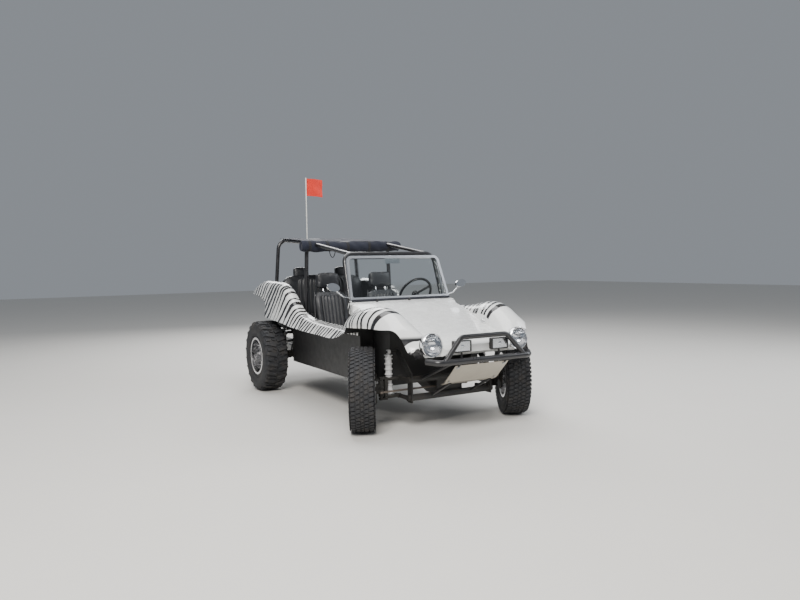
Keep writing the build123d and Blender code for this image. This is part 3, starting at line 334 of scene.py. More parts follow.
def blank(base, rough, metal=0.0, **plain):
    """A material with its principled shader; plain holds constant socket values."""
    material = bpy.data.materials.new("finish")
    material.use_nodes = True
    shader = material.node_tree.nodes["Principled BSDF"]
    shader.inputs["Base Color"].default_value = rgba(base)
    shader.inputs["Roughness"].default_value = rough
    shader.inputs["Metallic"].default_value = metal
    for key, value in plain.items():
        shader.inputs[key.replace("_", " ")].default_value = value
    return material, Tree(material.node_tree), shader


def dusted(t, shader, tone, reach, amount):
    """Wires a tone with sand dust over it to the shader, and gives the dust's mask."""
    mask = t.group("Dust gathering", Reach=reach, Amount=amount).outputs["Mask"]
    t.put(t.mix(mask, tone, rgba(bpy.context.scene.buggy_shell.dust)), shader, "Base Color")
    return mask


def grained(t, shader, grain_node, dusty, low, high):
    """Wires grain to the shader, with a roughness from low to high that dust raises."""
    rough = t.ramp(grain_node.outputs["Variation"], 0.2, 0.8, low, high)
    t.put(t.maths("ADD", rough, t.times(dusty, 0.4), clamp=True), shader, "Roughness")
    t.put(grain_node.outputs["Normal"], shader, "Normal")


def bumped(t, shader, height, strength, distance):
    """Wires a height to the shader as a bump, its distance in metres."""
    bump = t.add("ShaderNodeBump", {"Height": height, "Strength": strength, "Distance": distance})
    t.put(bump.outputs[0], shader, "Normal")


def coated(base, rough, *, dust, grain, metal=0.0, reach=1.3, strength=0.06, spread=0.12, **plain):
    """Paint, plastic or metal with grain, slow variation and dust."""
    material, t, shader = blank(base, rough, metal, **plain)
    grain_node = t.group("Surface grain", Scale=grain, Strength=strength)
    tone = t.mix(grain_node.outputs["Variation"], rgba(base, 0.88), rgba(base, 1.10, 0.003))
    dusty = dusted(t, shader, tone, reach, dust)
    grained(t, shader, grain_node, dusty, max(0.02, rough - spread / 2), rough + spread)
    return material


def striped(base, band):
    """Gelcoat with the painted bands."""
    material, t, shader = blank(base, 0.22, Coat_Weight=0.6, Coat_Roughness=0.06)
    mask = t.group("Fender bands", Spacing=bpy.context.scene.buggy_shell.spacing).outputs["Mask"]
    grain_node = t.group("Surface grain", Scale=60.0, Strength=0.03)
    tone = t.mix(grain_node.outputs["Variation"], rgba(base, 0.94), rgba(base))
    dusty = dusted(t, shader, t.mix(mask, tone, rgba(band)), 1.5, 0.35)
    grained(t, shader, grain_node, dusty, 0.16, 0.30)
    return material


def brushed(base, rough, direction, metal=1.0):
    """Bare metal with fine lines along one axis."""
    material, t, shader = blank(base, rough, metal)
    place = t.place()
    lines = t.noise(t.stretched(place, direction), 20.0, 6.0, 0.7)
    cloud = t.noise(place, 11.0, 5.0, 0.6)
    dusted(t, shader, t.mix(cloud, rgba(base, 0.78), rgba(base)), 1.0, 0.7)
    t.put(t.ramp(lines, 0.2, 0.8, rough - 0.08, rough + 0.16), shader, "Roughness")
    bumped(t, shader, lines, 0.12, 0.0004)
    return material


def vinyl(base):
    """Soft upholstery vinyl with pores and creases."""
    material, t, shader = blank(base, 0.42, Sheen_Weight=0.04, Sheen_Roughness=0.4, Coat_Weight=0.10,
                                Coat_Roughness=0.30)
    place = t.place()
    cells = t.add("ShaderNodeTexVoronoi", {"Vector": place, "Scale": 420.0}, feature="DISTANCE_TO_EDGE")
    pores = t.ramp(cells.outputs["Distance"], 0.0, 0.12)
    crease = t.noise(t.stretched(place, (1.0, 1.6, 1.2)), 16.0, 6.0, 0.65)
    tone = t.mix(crease, rgba(base, 0.7), rgba(base, 1.5, 0.002))
    dusted(t, shader, tone, 3.0, 0.06)
    t.put(t.ramp(crease, 0.3, 0.7, 0.34, 0.55), shader, "Roughness")
    bumped(t, shader, t.plus(t.times(pores, 0.25), crease), 0.35, 0.0016)
    return material


def cloth(base, threads, dust, sheen):
    """Woven cloth with weave, wrinkles and fading."""
    material, t, shader = blank(base, 0.86, Sheen_Weight=sheen, Sheen_Roughness=0.5)
    place = t.place()
    weave = t.group("Cloth weave", Threads=threads).outputs["Height"]
    fade = t.noise(place, 5.0, 5.0, 0.6)
    tone = t.mix(fade, rgba(base, 0.7), rgba(base, 1.35, 0.004))
    tone = t.mix(t.times(weave, 0.3), tone, rgba(base, 0.5))
    dusted(t, shader, tone, 4.0, dust)
    wrinkle = t.noise(t.stretched(place, (1.0, 2.2, 1.0)), 12.0, 5.0, 0.6)
    bumped(t, shader, t.plus(t.times(weave, 0.2), wrinkle), 0.4, 0.003)
    return material


def rubber(base, dust):
    """Tyre rubber: matt, greyed by sand in patches."""
    material, t, shader = blank(base, 0.72)
    place = t.place()
    cloud = t.noise(place, 13.0, 6.0, 0.65)
    fine = t.noise(place, 240.0, 3.0, 0.6)
    sandy = t.times(t.ramp(cloud, 0.42, 0.72), t.ramp(fine, 0.35, 0.7), dust)
    tone = t.mix(cloud, rgba(base, 0.75), rgba(base, 1.6, 0.003))
    t.put(t.mix(sandy, tone, rgba(bpy.context.scene.buggy_shell.dust)), shader, "Base Color")
    t.put(t.ramp(cloud, 0.3, 0.7, 0.62, 0.85), shader, "Roughness")
    bumped(t, shader, fine, 0.25, 0.0006)
    return material


def clear(base, ribs=0.0, tint=1.0):
    """Clear glass or lens, with moulded ribs where asked."""
    material, t, shader = blank(base, 0.03, Transmission_Weight=tint, IOR=1.45)
    place = t.place()
    t.put(t.ramp(t.noise(place, 7.0, 4.0, 0.6), 0.35, 0.8, 0.02, 0.09), shader, "Roughness")
    if ribs:
        wave = t.add("ShaderNodeTexWave", {"Vector": place, "Scale": ribs}, bands_direction="X")
        bumped(t, shader, wave.outputs["Fac"], 0.35, 0.002)
    return material


MATERIALS = {}


def make_materials():
    """Makes the node groups and every finish, each under its own name."""
    shell = bpy.context.scene.buggy_shell
    metal = bpy.context.scene.buggy_metal
    tyres = bpy.context.scene.buggy_tyres
    goods = bpy.context.scene.buggy_cloth
    for make_group in (dust_group, grain_group, weave_group, band_group, stripe_group):
        make_group()
    MATERIALS.update({
        "shell_striped": striped(shell.white, shell.stripe),
        "shell_white": coated(shell.white, 0.22, dust=0.35, reach=1.5, grain=60.0, strength=0.03,
                              Coat_Weight=0.6, Coat_Roughness=0.06),
        "tub_black": coated(shell.tub, 0.42, dust=0.14, grain=140.0, strength=0.12),
        "chassis_black": coated((0.014, 0.014, 0.014), 0.55, dust=0.35, reach=1.0, grain=200.0, strength=0.2),
        "cage_coat": coated(metal.cage, 0.30, dust=0.06, reach=2.5, grain=330.0, strength=0.10,
                            Coat_Weight=0.3, Coat_Roughness=0.15),
        "screen_metal": brushed(metal.screen, 0.32, (1.0, 1.0, 30.0), 0.85),
        "screen_glass": clear((0.93, 0.97, 0.97)),
        "lens_glass": clear((0.97, 0.98, 1.0), ribs=26.0),
        "chrome": coated((0.80, 0.81, 0.83), 0.07, metal=1.0, dust=0.10, grain=30.0, strength=0.01,
                         spread=0.05),
        "reflector": coated((0.88, 0.89, 0.90), 0.09, metal=1.0, dust=0.0, grain=30.0, strength=0.02,
                            spread=0.04),
        "wheel_metal": coated(metal.wheel, 0.17, metal=1.0, dust=0.55, reach=0.9, grain=90.0,
                              strength=0.05, spread=0.14),
        # Skid plate: bare metal whose warm tint is a painted reflection of the sand
        "skid_metal_painted_sand": brushed(metal.skid, 0.36, (40.0, 1.0, 1.0)),
        "cast_iron": coated((0.032, 0.031, 0.030), 0.68, metal=0.5, dust=0.4, reach=1.0, grain=210.0,
                            strength=0.4),
        "engine_alloy": coated(metal.alloy, 0.52, metal=0.8, dust=0.5, reach=1.3, grain=190.0, strength=0.35),
        "exhaust_steel": coated((0.20, 0.17, 0.15), 0.48, metal=0.9, dust=0.5, reach=1.2,
                                grain=120.0, strength=0.2),
        "shock_white": coated((0.62, 0.62, 0.63), 0.30, dust=0.5, grain=120.0, strength=0.08),
        "bright_bolt": coated((0.50, 0.50, 0.50), 0.30, metal=1.0, dust=0.3, grain=200.0, strength=0.1),
        "black_plastic": coated((0.016, 0.016, 0.017), 0.48, dust=0.3, reach=2.0, grain=420.0, strength=0.25),
        "seal_rubber": coated((0.010, 0.012, 0.020), 0.60, dust=0.15, reach=2.0, grain=300.0, strength=0.15),
        "tyre_rubber": rubber(tyres.rubber, 0.12),
        "seat_vinyl": vinyl(goods.vinyl),
        "seat_piping": coated((0.05, 0.05, 0.055), 0.35, dust=0.1, reach=2.0, grain=300.0),
        # The top's black cloth, its colour tinted blue with painted sky light
        "top_cloth_and_painted_sky": cloth(goods.canvas, 520.0, dust=0.06, sheen=0.08),
        "flag_cloth": cloth(goods.flag, 900.0, dust=0.0, sheen=0.15),
        "strap_web": cloth((0.010, 0.010, 0.012), 900.0, dust=0.05, sheen=0.1),
        "whip_fibre": coated((0.74, 0.74, 0.70), 0.35, dust=0.05, reach=3.0, grain=160.0),
        "clear_lens": clear((0.92, 0.93, 0.95), ribs=60.0, tint=0.55),
        "red_lens": clear((0.75, 0.02, 0.015), ribs=60.0, tint=0.35),
    })
    for name, material in MATERIALS.items():
        material.name = name


NODE_FINISH = {
    "shell_striped": ("front_fenders", "nose", "side_panel_left", "side_panel_right"),
    "shell_white": ("hood", "rear_deck"),
    "tub_black": ("tub_sides", "rear_bulkhead", "footwell", "dash"),
    "chassis_black": ("floor_pan", "seat_runners", "front_beam", "steering_column"),
    "cage_coat": ("cage_front", "cage_main", "cage_rear", "cage_rails", "rear_guard", "front_bumper",
                  "lamp_loop"),
    "screen_metal": ("windscreen_frame",),
    "screen_glass": ("windscreen_glass",),
    "cast_iron": ("front_arms", "knuckle_left", "knuckle_right", "pitman_arm", "rear_axle"),
    "shock_white": ("shocks",),
    "exhaust_steel": ("exhaust", "tie_rod_left", "tie_rod_right"),
    "engine_alloy": ("engine",),
    "black_plastic": ("engine_cooling", "fog_lamps", "steering_wheel"),
    "skid_metal_painted_sand": ("skid_plate",),
    "chrome": ("mirrors",),
    "clear_lens": ("signal_lamps",),
    "red_lens": ("tail_lamps",),
    "whip_fibre": ("whip_pole",),
    "wheel_metal": ("rim_front_left", "rim_front_right", "rim_rear_left", "rim_rear_right"),
}


# Mesh helpers

def link(thing):
    """Puts a new thing into the scene."""
    bpy.context.scene.collection.objects.link(thing)


def add_piece(name, bm, body, material, sharp):
    """Turns a bmesh into a smooth piece, sharp past an angle, that rides on a body."""
    bmesh.ops.remove_doubles(bm, verts=bm.verts, dist=1e-6)
    bmesh.ops.recalc_face_normals(bm, faces=bm.faces)
    mesh = bpy.data.meshes.new(name)
    bm.to_mesh(mesh)
    bm.free()
    piece = bpy.data.objects.new(name, mesh)
    link(piece)
    mesh.materials.append(MATERIALS[material])
    mesh.polygons.foreach_set("use_smooth", [True] * len(mesh.polygons))
    mesh.set_sharp_from_angle(angle=math.radians(sharp))
    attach(piece, body)
    return piece


def turn_to(direction):
    """The rotation that lays the local Z axis along a direction."""
    return Vector((0, 0, 1)).rotation_difference(Vector(direction).normalized()).to_matrix().to_4x4()


def lathe(bm, profile, centre, direction, steps, closed=False):
    """Spins (along, radius) points about an axis through centre."""
    m = Matrix.Translation(centre) @ turn_to(direction)
    verts = [bmesh.ops.create_vert(bm, co=m @ Vector((r, 0.0, a)))["vert"][0] for a, r in profile]
    pairs = list(zip(verts, verts[1:])) + ([(verts[-1], verts[0])] if closed else [])
    edges = [bm.edges.new(pair) for pair in pairs]
    bmesh.ops.spin(bm, geom=verts + edges, cent=centre, axis=m.to_3x3() @ Vector((0, 0, 1)), dvec=(0, 0, 0),
                   angle=math.tau, steps=steps, use_merge=True)


def edges_of(verts):
    """Every edge at the vertices, once, in a steady order."""
    return list(dict.fromkeys(e for v in verts for e in v.link_edges))


def bevelled(bm, made, edges, offset):
    """Bevels edges of the shape that has the vertices made, and gives its vertices afterwards."""
    before = set(bm.verts)
    bmesh.ops.bevel(bm, geom=edges, offset=offset, offset_type="OFFSET", segments=1, profile=0.5,
                    affect="EDGES", material=-1)
    return [v for v in made if v.is_valid] + [v for v in bm.verts if v not in before]


def block(bm, low, high, bevel=0.0):
    """A box between two corners, bevelled where asked."""
    made = bmesh.ops.create_cube(bm, size=1.0)["verts"]
    low, high = Vector(low), Vector(high)
    bmesh.ops.scale(bm, vec=high - low, verts=made)
    bmesh.ops.translate(bm, vec=(low + high) / 2.0, verts=made)
    return bevelled(bm, made, edges_of(made), bevel) if bevel else made


def prism(bm, centre, direction, radius, depth, sides, bevel=0.0, turn=0.0):
    """A bolt head, nut or short bar along a direction."""
    made = bmesh.ops.create_cone(bm, cap_ends=True, segments=sides, radius1=radius, radius2=radius,
                                 depth=depth)["verts"]
    m = Matrix.Translation(Vector(centre) + Vector(direction).normalized() * depth / 2) @ turn_to(direction)
    bmesh.ops.transform(bm, matrix=m @ Matrix.Rotation(turn, 4, "Z"), verts=made)
    if bevel:
        caps = [e for e in edges_of(made) if any(len(f.verts) > 4 for f in e.link_faces)]
        bevelled(bm, made, caps, bevel)


def pipe(points, radius):
    """A smooth tube along points as a bmesh."""
    curve = bpy.data.curves.new("pipe", "CURVE")
    curve.dimensions = "3D"
    curve.bevel_depth = radius
    curve.bevel_resolution = 3
    curve.use_fill_caps = True
    curve.resolution_u = 6
    spline = curve.splines.new("NURBS")
    spline.points.add(len(points) - 1)
    for point, co in zip(spline.points, points):
        point.co = (*co, 1.0)
    spline.order_u = 3
    spline.use_endpoint_u = True
    holder = bpy.data.objects.new("pipe", curve)
    mesh = bpy.data.meshes.new_from_object(holder)
    bm = bmesh.new()
    bm.from_mesh(mesh)
    bpy.data.objects.remove(holder)
    bpy.data.curves.remove(curve)
    bpy.data.meshes.remove(mesh)
    return bm


def join(bm, other):
    """Adds another bmesh's shape to bm and frees it."""
    mesh = bpy.data.meshes.new("join")
    other.to_mesh(mesh)
    other.free()
    bm.from_mesh(mesh)
    bpy.data.meshes.remove(mesh)


# Tyres

def spin_copies(bm, verts, centre, count):
    """Copies a tread block round the axle."""
    faces = list(dict.fromkeys(f for v in verts for f in v.link_faces))
    bmesh.ops.spin(bm, geom=list(verts) + edges_of(verts) + faces, cent=centre, axis=(1, 0, 0),
                   dvec=(0, 0, 0), angle=math.tau * (count - 1) / count, steps=count - 1, use_duplicate=True)


def hub(side, wheel):
    """The middle of a wheel that points straight ahead."""
    return Vector((side * wheel.x, AXLE_Y + wheel.y, wheel.radius))


def tread_block(bm, centre, radius, depth, x0, x1, run, angle, skew, drop0, drop1, bevel=0.0015):
    """One block on the crown, from x0 to x1, run long round the tyre, its ends dropped to the shoulder."""
    made = bmesh.ops.create_cube(bm, size=1.0)["verts"]
    for v in made:
        u, w, outer = v.co.x + 0.5, v.co.y * 2.0, v.co.z > 0.0
        top = radius - (drop0 * (1.0 - u) + drop1 * u)
        z = top if outer else top - depth - 0.004
        share = 0.04 + 0.92 * u if outer else u
        taper = 0.88 if outer else 1.0
        v.co = Vector((x0 + (x1 - x0) * share, w * run / 2.0 * taper + skew * (u - 0.5), z))
    floor = radius - 0.7 * depth - max(drop0, drop1)
    tops = [e for e in edges_of(made) if all(q.co.z > floor for q in e.verts)]
    made = bevelled(bm, made, tops, bevel)
    m = Matrix.Translation(centre) @ Matrix.Rotation(angle, 4, "X")
    bmesh.ops.transform(bm, matrix=m, verts=made)
    return made


def carcass(bm, centre, wheel, depth):
    """A tyre's body under its tread: crown, shoulders, sides with a rib over the rim, and beads."""
    crown, half, bead, rib = wheel.radius - depth, wheel.half, wheel.bead, wheel.half - 0.007
    side = [
        (0.0, crown), (half * 0.50, crown - 0.001), (half * 0.80, crown - 0.006),
        (half * 0.93, crown - 0.020), (half * 0.985, crown - 0.045), (half - 0.0005, crown - 0.075),
        (half - 0.002, (wheel.radius + RIM_RADIUS) / 2.0), (half - 0.010, RIM_RADIUS + 0.050),
        (rib, RIM_RADIUS + 0.046), (rib, RIM_RADIUS + 0.038), (half - 0.016, RIM_RADIUS + 0.034),
        (bead + 0.010, RIM_RADIUS + 0.018), (bead + 0.002, RIM_RADIUS + 0.010),
        (bead - 0.001, RIM_RADIUS + 0.001),
    ]
    profile = [(-a, r) for a, r in reversed(side)] + side[1:]
    lathe(bm, profile, centre, (1, 0, 0), 96, closed=True)


def steer(bm, side):
    """Turns a straight-ahead front piece about its kingpin to the held position."""
    bmesh.ops.rotate(bm, cent=(side * KINGPIN_X, AXLE_Y, 0.0), matrix=Matrix.Rotation(WHEEL_TURN, 3, "Z"),
                     verts=list(bm.verts))


def front_tyre(side, label):
    """A steered tyre with five rows of blocks, and bars on its shoulders."""
    tyres, wheel = bpy.context.scene.buggy_tyres, WHEELS["front"]
    centre, radius, half = hub(side, wheel), wheel.radius, wheel.half
    depth, count = tyres.front_depth, tyres.front_blocks
    bm = bmesh.new()
    carcass(bm, centre, wheel, depth)
    pitch = math.tau * radius / count
    rows = ((-0.86, -0.52, 0.5, 0.006, 0.001), (-0.46, -0.16, 0.0, 0.0008, 0.0), (-0.10, 0.10, 0.5, 0.0, 0.0),
            (0.16, 0.46, 0.0, 0.0, 0.0008), (0.52, 0.86, 0.5, 0.001, 0.006))
    for x0, x1, shift, drop0, drop1 in rows:
        made = tread_block(bm, centre, radius, depth, x0 * half, x1 * half, pitch * 0.74,
                           shift * math.tau / count, pitch * 0.20, drop0, drop1)
        spin_copies(bm, made, centre, count)
    for s in (LEFT, RIGHT):
        x = s * half * 0.965
        y = pitch * 0.28
        made = block(bm, (x - 0.003, -y, radius - 0.048), (x + 0.003, y, radius - 0.014))
        bmesh.ops.translate(bm, vec=centre, verts=made)
        spin_copies(bm, made, centre, count)
    steer(bm, side)
    piece = add_piece("tyre_tread_front_" + label, bm, "wheel_front_" + label, "tyre_rubber", 30.0)
    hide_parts("tyre_front_" + label)


def shoulder_lug(bm, centre, side, turn, radius, half, depth):
    """One block of the rear tread: from the middle out over the shoulder, laid a little askew."""
    floor = radius - depth
    outline = ((0.05, radius), (0.40, radius - 0.0005), (0.77, radius - 0.002), (0.92, radius - 0.018),
               (0.968, floor - 0.026), (0.90, floor - 0.026), (0.80, floor - 0.010), (0.05, floor - 0.006))
    rings = []
    for sign in (-1.0, 1.0):
        spots = [(share * half, sign * LUG_RUN * (0.44 if height > floor else 0.5), height)
                 for share, height in outline]
        rings.append([bmesh.ops.create_vert(bm, co=spot)["vert"][0] for spot in spots])
    bm.faces.new(rings[0])
    bm.faces.new(list(reversed(rings[1])))
    count = len(outline)
    for k in range(count):
        bm.faces.new((rings[0][k], rings[1][k], rings[1][(k + 1) % count], rings[0][(k + 1) % count]))
    made = rings[0] + rings[1]
    tops = [e for e in edges_of(made) if all(q.co.z > radius - 0.019 for q in e.verts)
            and len(e.link_faces) == 2 and e.calc_face_angle(0.0) > 0.9]
    made = bevelled(bm, made, tops, 0.002)
    pivot = Matrix.Translation((LUG_MIDDLE * half, 0.0, 0.0))
    skew = pivot @ Matrix.Rotation(LUG_LEAN, 4, "Z") @ pivot.inverted()
    flip = Matrix.Diagonal((side, 1.0, 1.0, 1.0))
    place = Matrix.Translation(centre) @ Matrix.Rotation(turn, 4, "X") @ flip @ skew
    bmesh.ops.transform(bm, matrix=place, verts=made)
    return made


def rear_tyre(side, label):
    """A wide tyre with two rows of shoulder lugs, and two smaller blocks between each pair of them."""
    tyres, wheel = bpy.context.scene.buggy_tyres, WHEELS["rear"]
    centre, radius, half = hub(side, wheel), wheel.radius, wheel.half
    depth, count = tyres.rear_depth, tyres.rear_lugs
    bm = bmesh.new()
    carcass(bm, centre, wheel, depth)
    pitch, step = math.tau * radius / count, math.tau / count
    for row, shift in ((side, 0.0), (-side, 0.5)):
        spin_copies(bm, shoulder_lug(bm, centre, row, shift * step, radius, half, depth), centre, count)
        for x0, x1, run, skew, drop0, drop1, bevel in ((0.50, 0.82, 0.26, 0.0, 0.004, 0.009, 0.0015),
                                                       (0.06, 0.34, 0.16, 0.1, 0.003, 0.003, 0.001)):
            made = tread_block(bm, centre, radius, depth, row * x0 * half, row * x1 * half, pitch * run,
                               (shift + 0.5) * step, pitch * skew, drop0, drop1, bevel)
            spin_copies(bm, made, centre, count)
    piece = add_piece("tyre_tread_rear_" + label, bm, "wheel_rear_" + label, "tyre_rubber", 30.0)
    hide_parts("tyre_rear_" + label)


# Where a rim's nuts, its edge bolts and its valve sit, as radii in metres
NUT_CIRCLE, EDGE_CIRCLE, VALVE_CIRCLE = 0.078, 0.174, 0.160


def wheel_trim(place, side, label):
    """Five nuts, 24 bolts round the edge, a valve and a bright hub cap on one rim."""
    wheel = WHEELS[place]
    centre, out = hub(side, wheel), Vector((side, 0.0, 0.0))

    def spot(a, radius, lift=0.0):
        return Vector((side * (wheel.face + lift), centre.y + radius * math.sin(a),
                       centre.z + radius * math.cos(a)))

    bm = bmesh.new()
    for k in range(5):
        a = math.tau * (k + 0.5) / 5
        prism(bm, spot(a, NUT_CIRCLE), out, 0.0125, 0.020, 6, 0.0015, a)
        prism(bm, spot(a, NUT_CIRCLE), out, 0.0165, 0.004, 16)
    for k in range(24):
        prism(bm, spot(math.tau * k / 24, EDGE_CIRCLE), out, 0.0045, 0.004, 8)
    prism(bm, spot(math.radians(20.0), VALVE_CIRCLE, 0.004), out, 0.004, 0.028, 10)
    cap = [(0.0, 0.0005), (0.0, 0.020), (-0.003, 0.030), (-0.006, 0.0465), (-0.010, 0.0475), (-0.010, 0.0005)]
    lathe(bm, cap, spot(0.0, 0.0, 0.048), out, 32)
    if place == "front":
        steer(bm, side)
    add_piece(f"wheel_nuts_{place}_{label}", bm, f"wheel_{place}_{label}", "bright_bolt", 30.0)


# Seats

PADS = []


def pad_shape(bm, corners, x, half, cuts, crown, pleats=0, waist=0.0, bolster=0.0):
    """A closed pad between four side corners (two along the under side, two along the sitting side).
    Gives each vertex's sewn groove and how far its cover may swell."""
    bmesh.ops.create_cube(bm, size=2.0)
    for axis, cut in enumerate(cuts):
        live = [e for e in bm.edges if abs((e.verts[0].co - e.verts[1].co)[axis]) > 1.9]
        bmesh.ops.subdivide_edges(bm, edges=live, cuts=cut, use_grid_fill=True)
    a, b, c, d = [Vector(p) for p in corners]
    sewn = []
    for v in bm.verts:
        u, s, w = v.co
        size = (abs(u) ** SQUARE + abs(s) ** SQUARE + abs(w) ** SQUARE) ** (1.0 / SQUARE)
        k = max(abs(u), abs(s), abs(w)) / size if size else 1.0
        top = (w + 1.0) / 2.0
        lower = a.lerp(b, (s * k + 1.0) / 2.0)
        upper = d.lerp(c, (s * k + 1.0) / 2.0)
        across = (upper - lower).normalized()
        rise = crown * (1.0 - u * u) * (1.0 - s * s) * top
        rise += bolster * top * max(0.0, abs(u) - RAISED_FROM) / (1.0 - RAISED_FROM) * (1.0 - s * s * 0.6)
        groove = 0.0
        if pleats and top > 0.6 and abs(u) < FIELD_WIDTH and abs(s) < FIELD_LENGTH:
            edge = min(1.0, (FIELD_LENGTH - abs(s)) / 0.07, (FIELD_WIDTH - abs(u)) / 0.02)
            groove = edge * (1.0 - abs(math.sin(math.pi * (u / LAST_SEAM + 1.0) / 2.0 * pleats)) ** 0.5)
            if abs(u) > LAST_SEAM:
                groove = edge
        spot = lower.lerp(upper, (w * k + 1.0) / 2.0) + across * rise
        v.co = Vector((x + u * k * half * (1.0 - waist * math.cos(s * math.pi / 2.0) ** 2), spot.x, spot.y))
        on_side = max(abs(u), abs(s)) > 0.985
        seam = max(0.0, 1.0 - abs(abs(w) - SIDE_SEAM) / SIDE_SEAM_WIDTH) if on_side else 0.0
        sewn.append((Vector((0.0, across.x, across.y)) * (-PLEAT_DEPTH * groove),
                     max(0.1, 1.0 - groove - 0.8 * seam)))
    return sewn


def pad_piece(name, corners, x, half, reach=0.011, **shape):
    """A padded piece from four side corners in millimetres; its cover may swell by reach."""
    bm = bmesh.new()
    side = [(y / 1000.0 + AXLE_Y, z / 1000.0) for y, z in corners]
    sewn = pad_shape(bm, side, x / 1000.0, half / 1000.0, **shape)
    piece = add_piece(name, bm, "chassis", "seat_vinyl", 60.0)
    if len(sewn) != len(piece.data.vertices):
        raise RuntimeError(name + ": the pad's vertices were merged")
    PADS.append((piece, sewn, reach))
    return piece


def stuff_pads():
    """Lets each cover swell over its filling as cloth, held back near its own form and along its seams."""
    scene = bpy.context.scene
    for piece, *_ in PADS:
        cover = piece.modifiers.new("Cover", "CLOTH")
        cover.settings.quality = 4
        cover.settings.mass = 0.25
        cover.settings.tension_stiffness = cover.settings.compression_stiffness = 12.0
        cover.settings.bending_stiffness = 0.3
        cover.settings.use_pressure = True
        cover.settings.uniform_pressure_force = scene.buggy_cloth.pressure
        cover.settings.effector_weights.gravity = 0.0
        cover.collision_settings.use_collision = False
        cover.point_cache.frame_start, cover.point_cache.frame_end = 1, SWELL_FRAMES
    for number in range(1, SWELL_FRAMES + 1):
        scene.frame_set(number)
    graph = bpy.context.evaluated_depsgraph_get()
    swollen = [[v.co.copy() for v in piece.evaluated_get(graph).data.vertices] for piece, *_ in PADS]
    for (piece, sewn, reach), spots in zip(PADS, swollen):
        piece.modifiers.remove(piece.modifiers["Cover"])
        for v, spot, (_, slack) in zip(piece.data.vertices, spots, sewn):
            step = spot - v.co
            if step.length > 1e-7:
                v.co += step * (reach * slack * math.tanh(step.length / reach) / step.length)
    scene.frame_set(1)
    for piece, sewn, _ in PADS:
        for v, (groove, _) in zip(piece.data.vertices, sewn):
            v.co += groove
        smooth = piece.modifiers.new("Smooth", "SUBSURF")
        smooth.levels = smooth.render_levels = 1


def front_seat(side, label):
    """Cushion, back and head rest of one bucket seat, with its posts and piping."""
    x = side * 312.0
    pads = [
        pad_piece("seat_cushion_" + label, [(1142, 470), (1592, 442), (1598, 560), (1146, 604)], x, 203,
                  crown=0.002, pleats=6, bolster=0.018, cuts=(66, 36, 9)),
        pad_piece("seat_back_" + label, [(1580, 458), (1688, 1098), (1604, 1126), (1474, 562)], x, 198,
                  crown=0.002, pleats=6, bolster=0.020, waist=0.05, cuts=(66, 44, 9)),
        pad_piece("head_rest_" + label, [(1720, 1136), (1722, 1300), (1655, 1312), (1640, 1142)], x, 127,
                  crown=0.004, cuts=(26, 18, 10), reach=0.008),
    ]
    posts, piping = bmesh.new(), bmesh.new()
    post = ((1640, 1088), (1660, 1120), (1678, 1175))
    for s in (-1, 1):
        join(posts, pipe([at(x + s * 60, y, z) for y, z in post], 0.007))
        for run in (((196, 1500, 600), (200, 1545, 780), (192, 1590, 960), (176, 1622, 1110)),
                    ((196, 1560, 588), (200, 1360, 606), (196, 1170, 616))):
            join(piping, pipe([at(x + s * out, y, z) for out, y, z in run], 0.0042))
    add_piece("head_rest_posts_" + label, posts, "chassis", "chrome", 40.0)
    add_piece("seat_piping_" + label, piping, "chassis", "seat_piping", 40.0)
    for pad in pads:
        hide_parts("seat_front_" + label)


def rear_bench():
    """Cushion, back and two head rests of the bench."""
    pads = [
        pad_piece("bench_cushion", [(2092, 701), (2518, 701), (2518, 800), (2094, 828)], 0, 518,
                  crown=0.006, pleats=14, bolster=0.010, cuts=(132, 30, 7)),
        pad_piece("bench_back", [(2560, 762), (2578, 1286), (2494, 1288), (2444, 762)], 0, 518,
                  crown=0.004, pleats=14, bolster=0.010, cuts=(132, 36, 7)),
    ]
    for label, side in SIDES:
        pads.append(pad_piece("bench_rest_" + label, [(2578, 1238), (2577, 1364), (2518, 1364), (2502, 1240)],
                              side * 265, 91, crown=0.004, cuts=(22, 16, 8), reach=0.007))
    for pad in pads:
        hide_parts("seat_rear")


# Cloth: top, roll and flag

def box_of(node):
    """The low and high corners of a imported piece's box."""
    return [Vector(corner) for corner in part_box(node)]


def roof_sheet():
    """The top's cloth between the hoops, sagging a little, with laced edges."""
    low, high = box_of("roof_canopy")
    bm = bmesh.new()
    grid = bmesh.ops.create_grid(bm, x_segments=70, y_segments=70, size=0.5)["verts"]
    rng = random.Random(4)
    waves = [(rng.uniform(4, 9), rng.uniform(3, 8), rng.uniform(0, 6.3), rng.uniform(0.0008, 0.0020))
             for _ in range(7)]
    for v in grid:
        u, w = v.co.x * 2.0, v.co.y * 2.0
        flat = 1.0 - u * u
        scallop = 0.010 * abs(math.sin((w + 1.0) * math.pi * 3.5)) * abs(u) ** 6
        z = (low.z + 0.003) + (high.z - low.z - 0.006) * (w + 1.0) / 2.0 - 0.013 * (1.0 - w * w) * flat
        z += sum(h * math.sin(a * u + b * w + c) * flat for a, b, c, h in waves)
        v.co = Vector((u * ((high.x - low.x) / 2.0 - scallop),
                       (low.y + high.y) / 2.0 + w * (high.y - low.y) / 2.0, z))
    bmesh.ops.solidify(bm, geom=bm.faces, thickness=0.0022)
    piece = add_piece("canopy_cloth", bm, "chassis", "top_cloth_and_painted_sky", 60.0)
    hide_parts("roof_canopy")


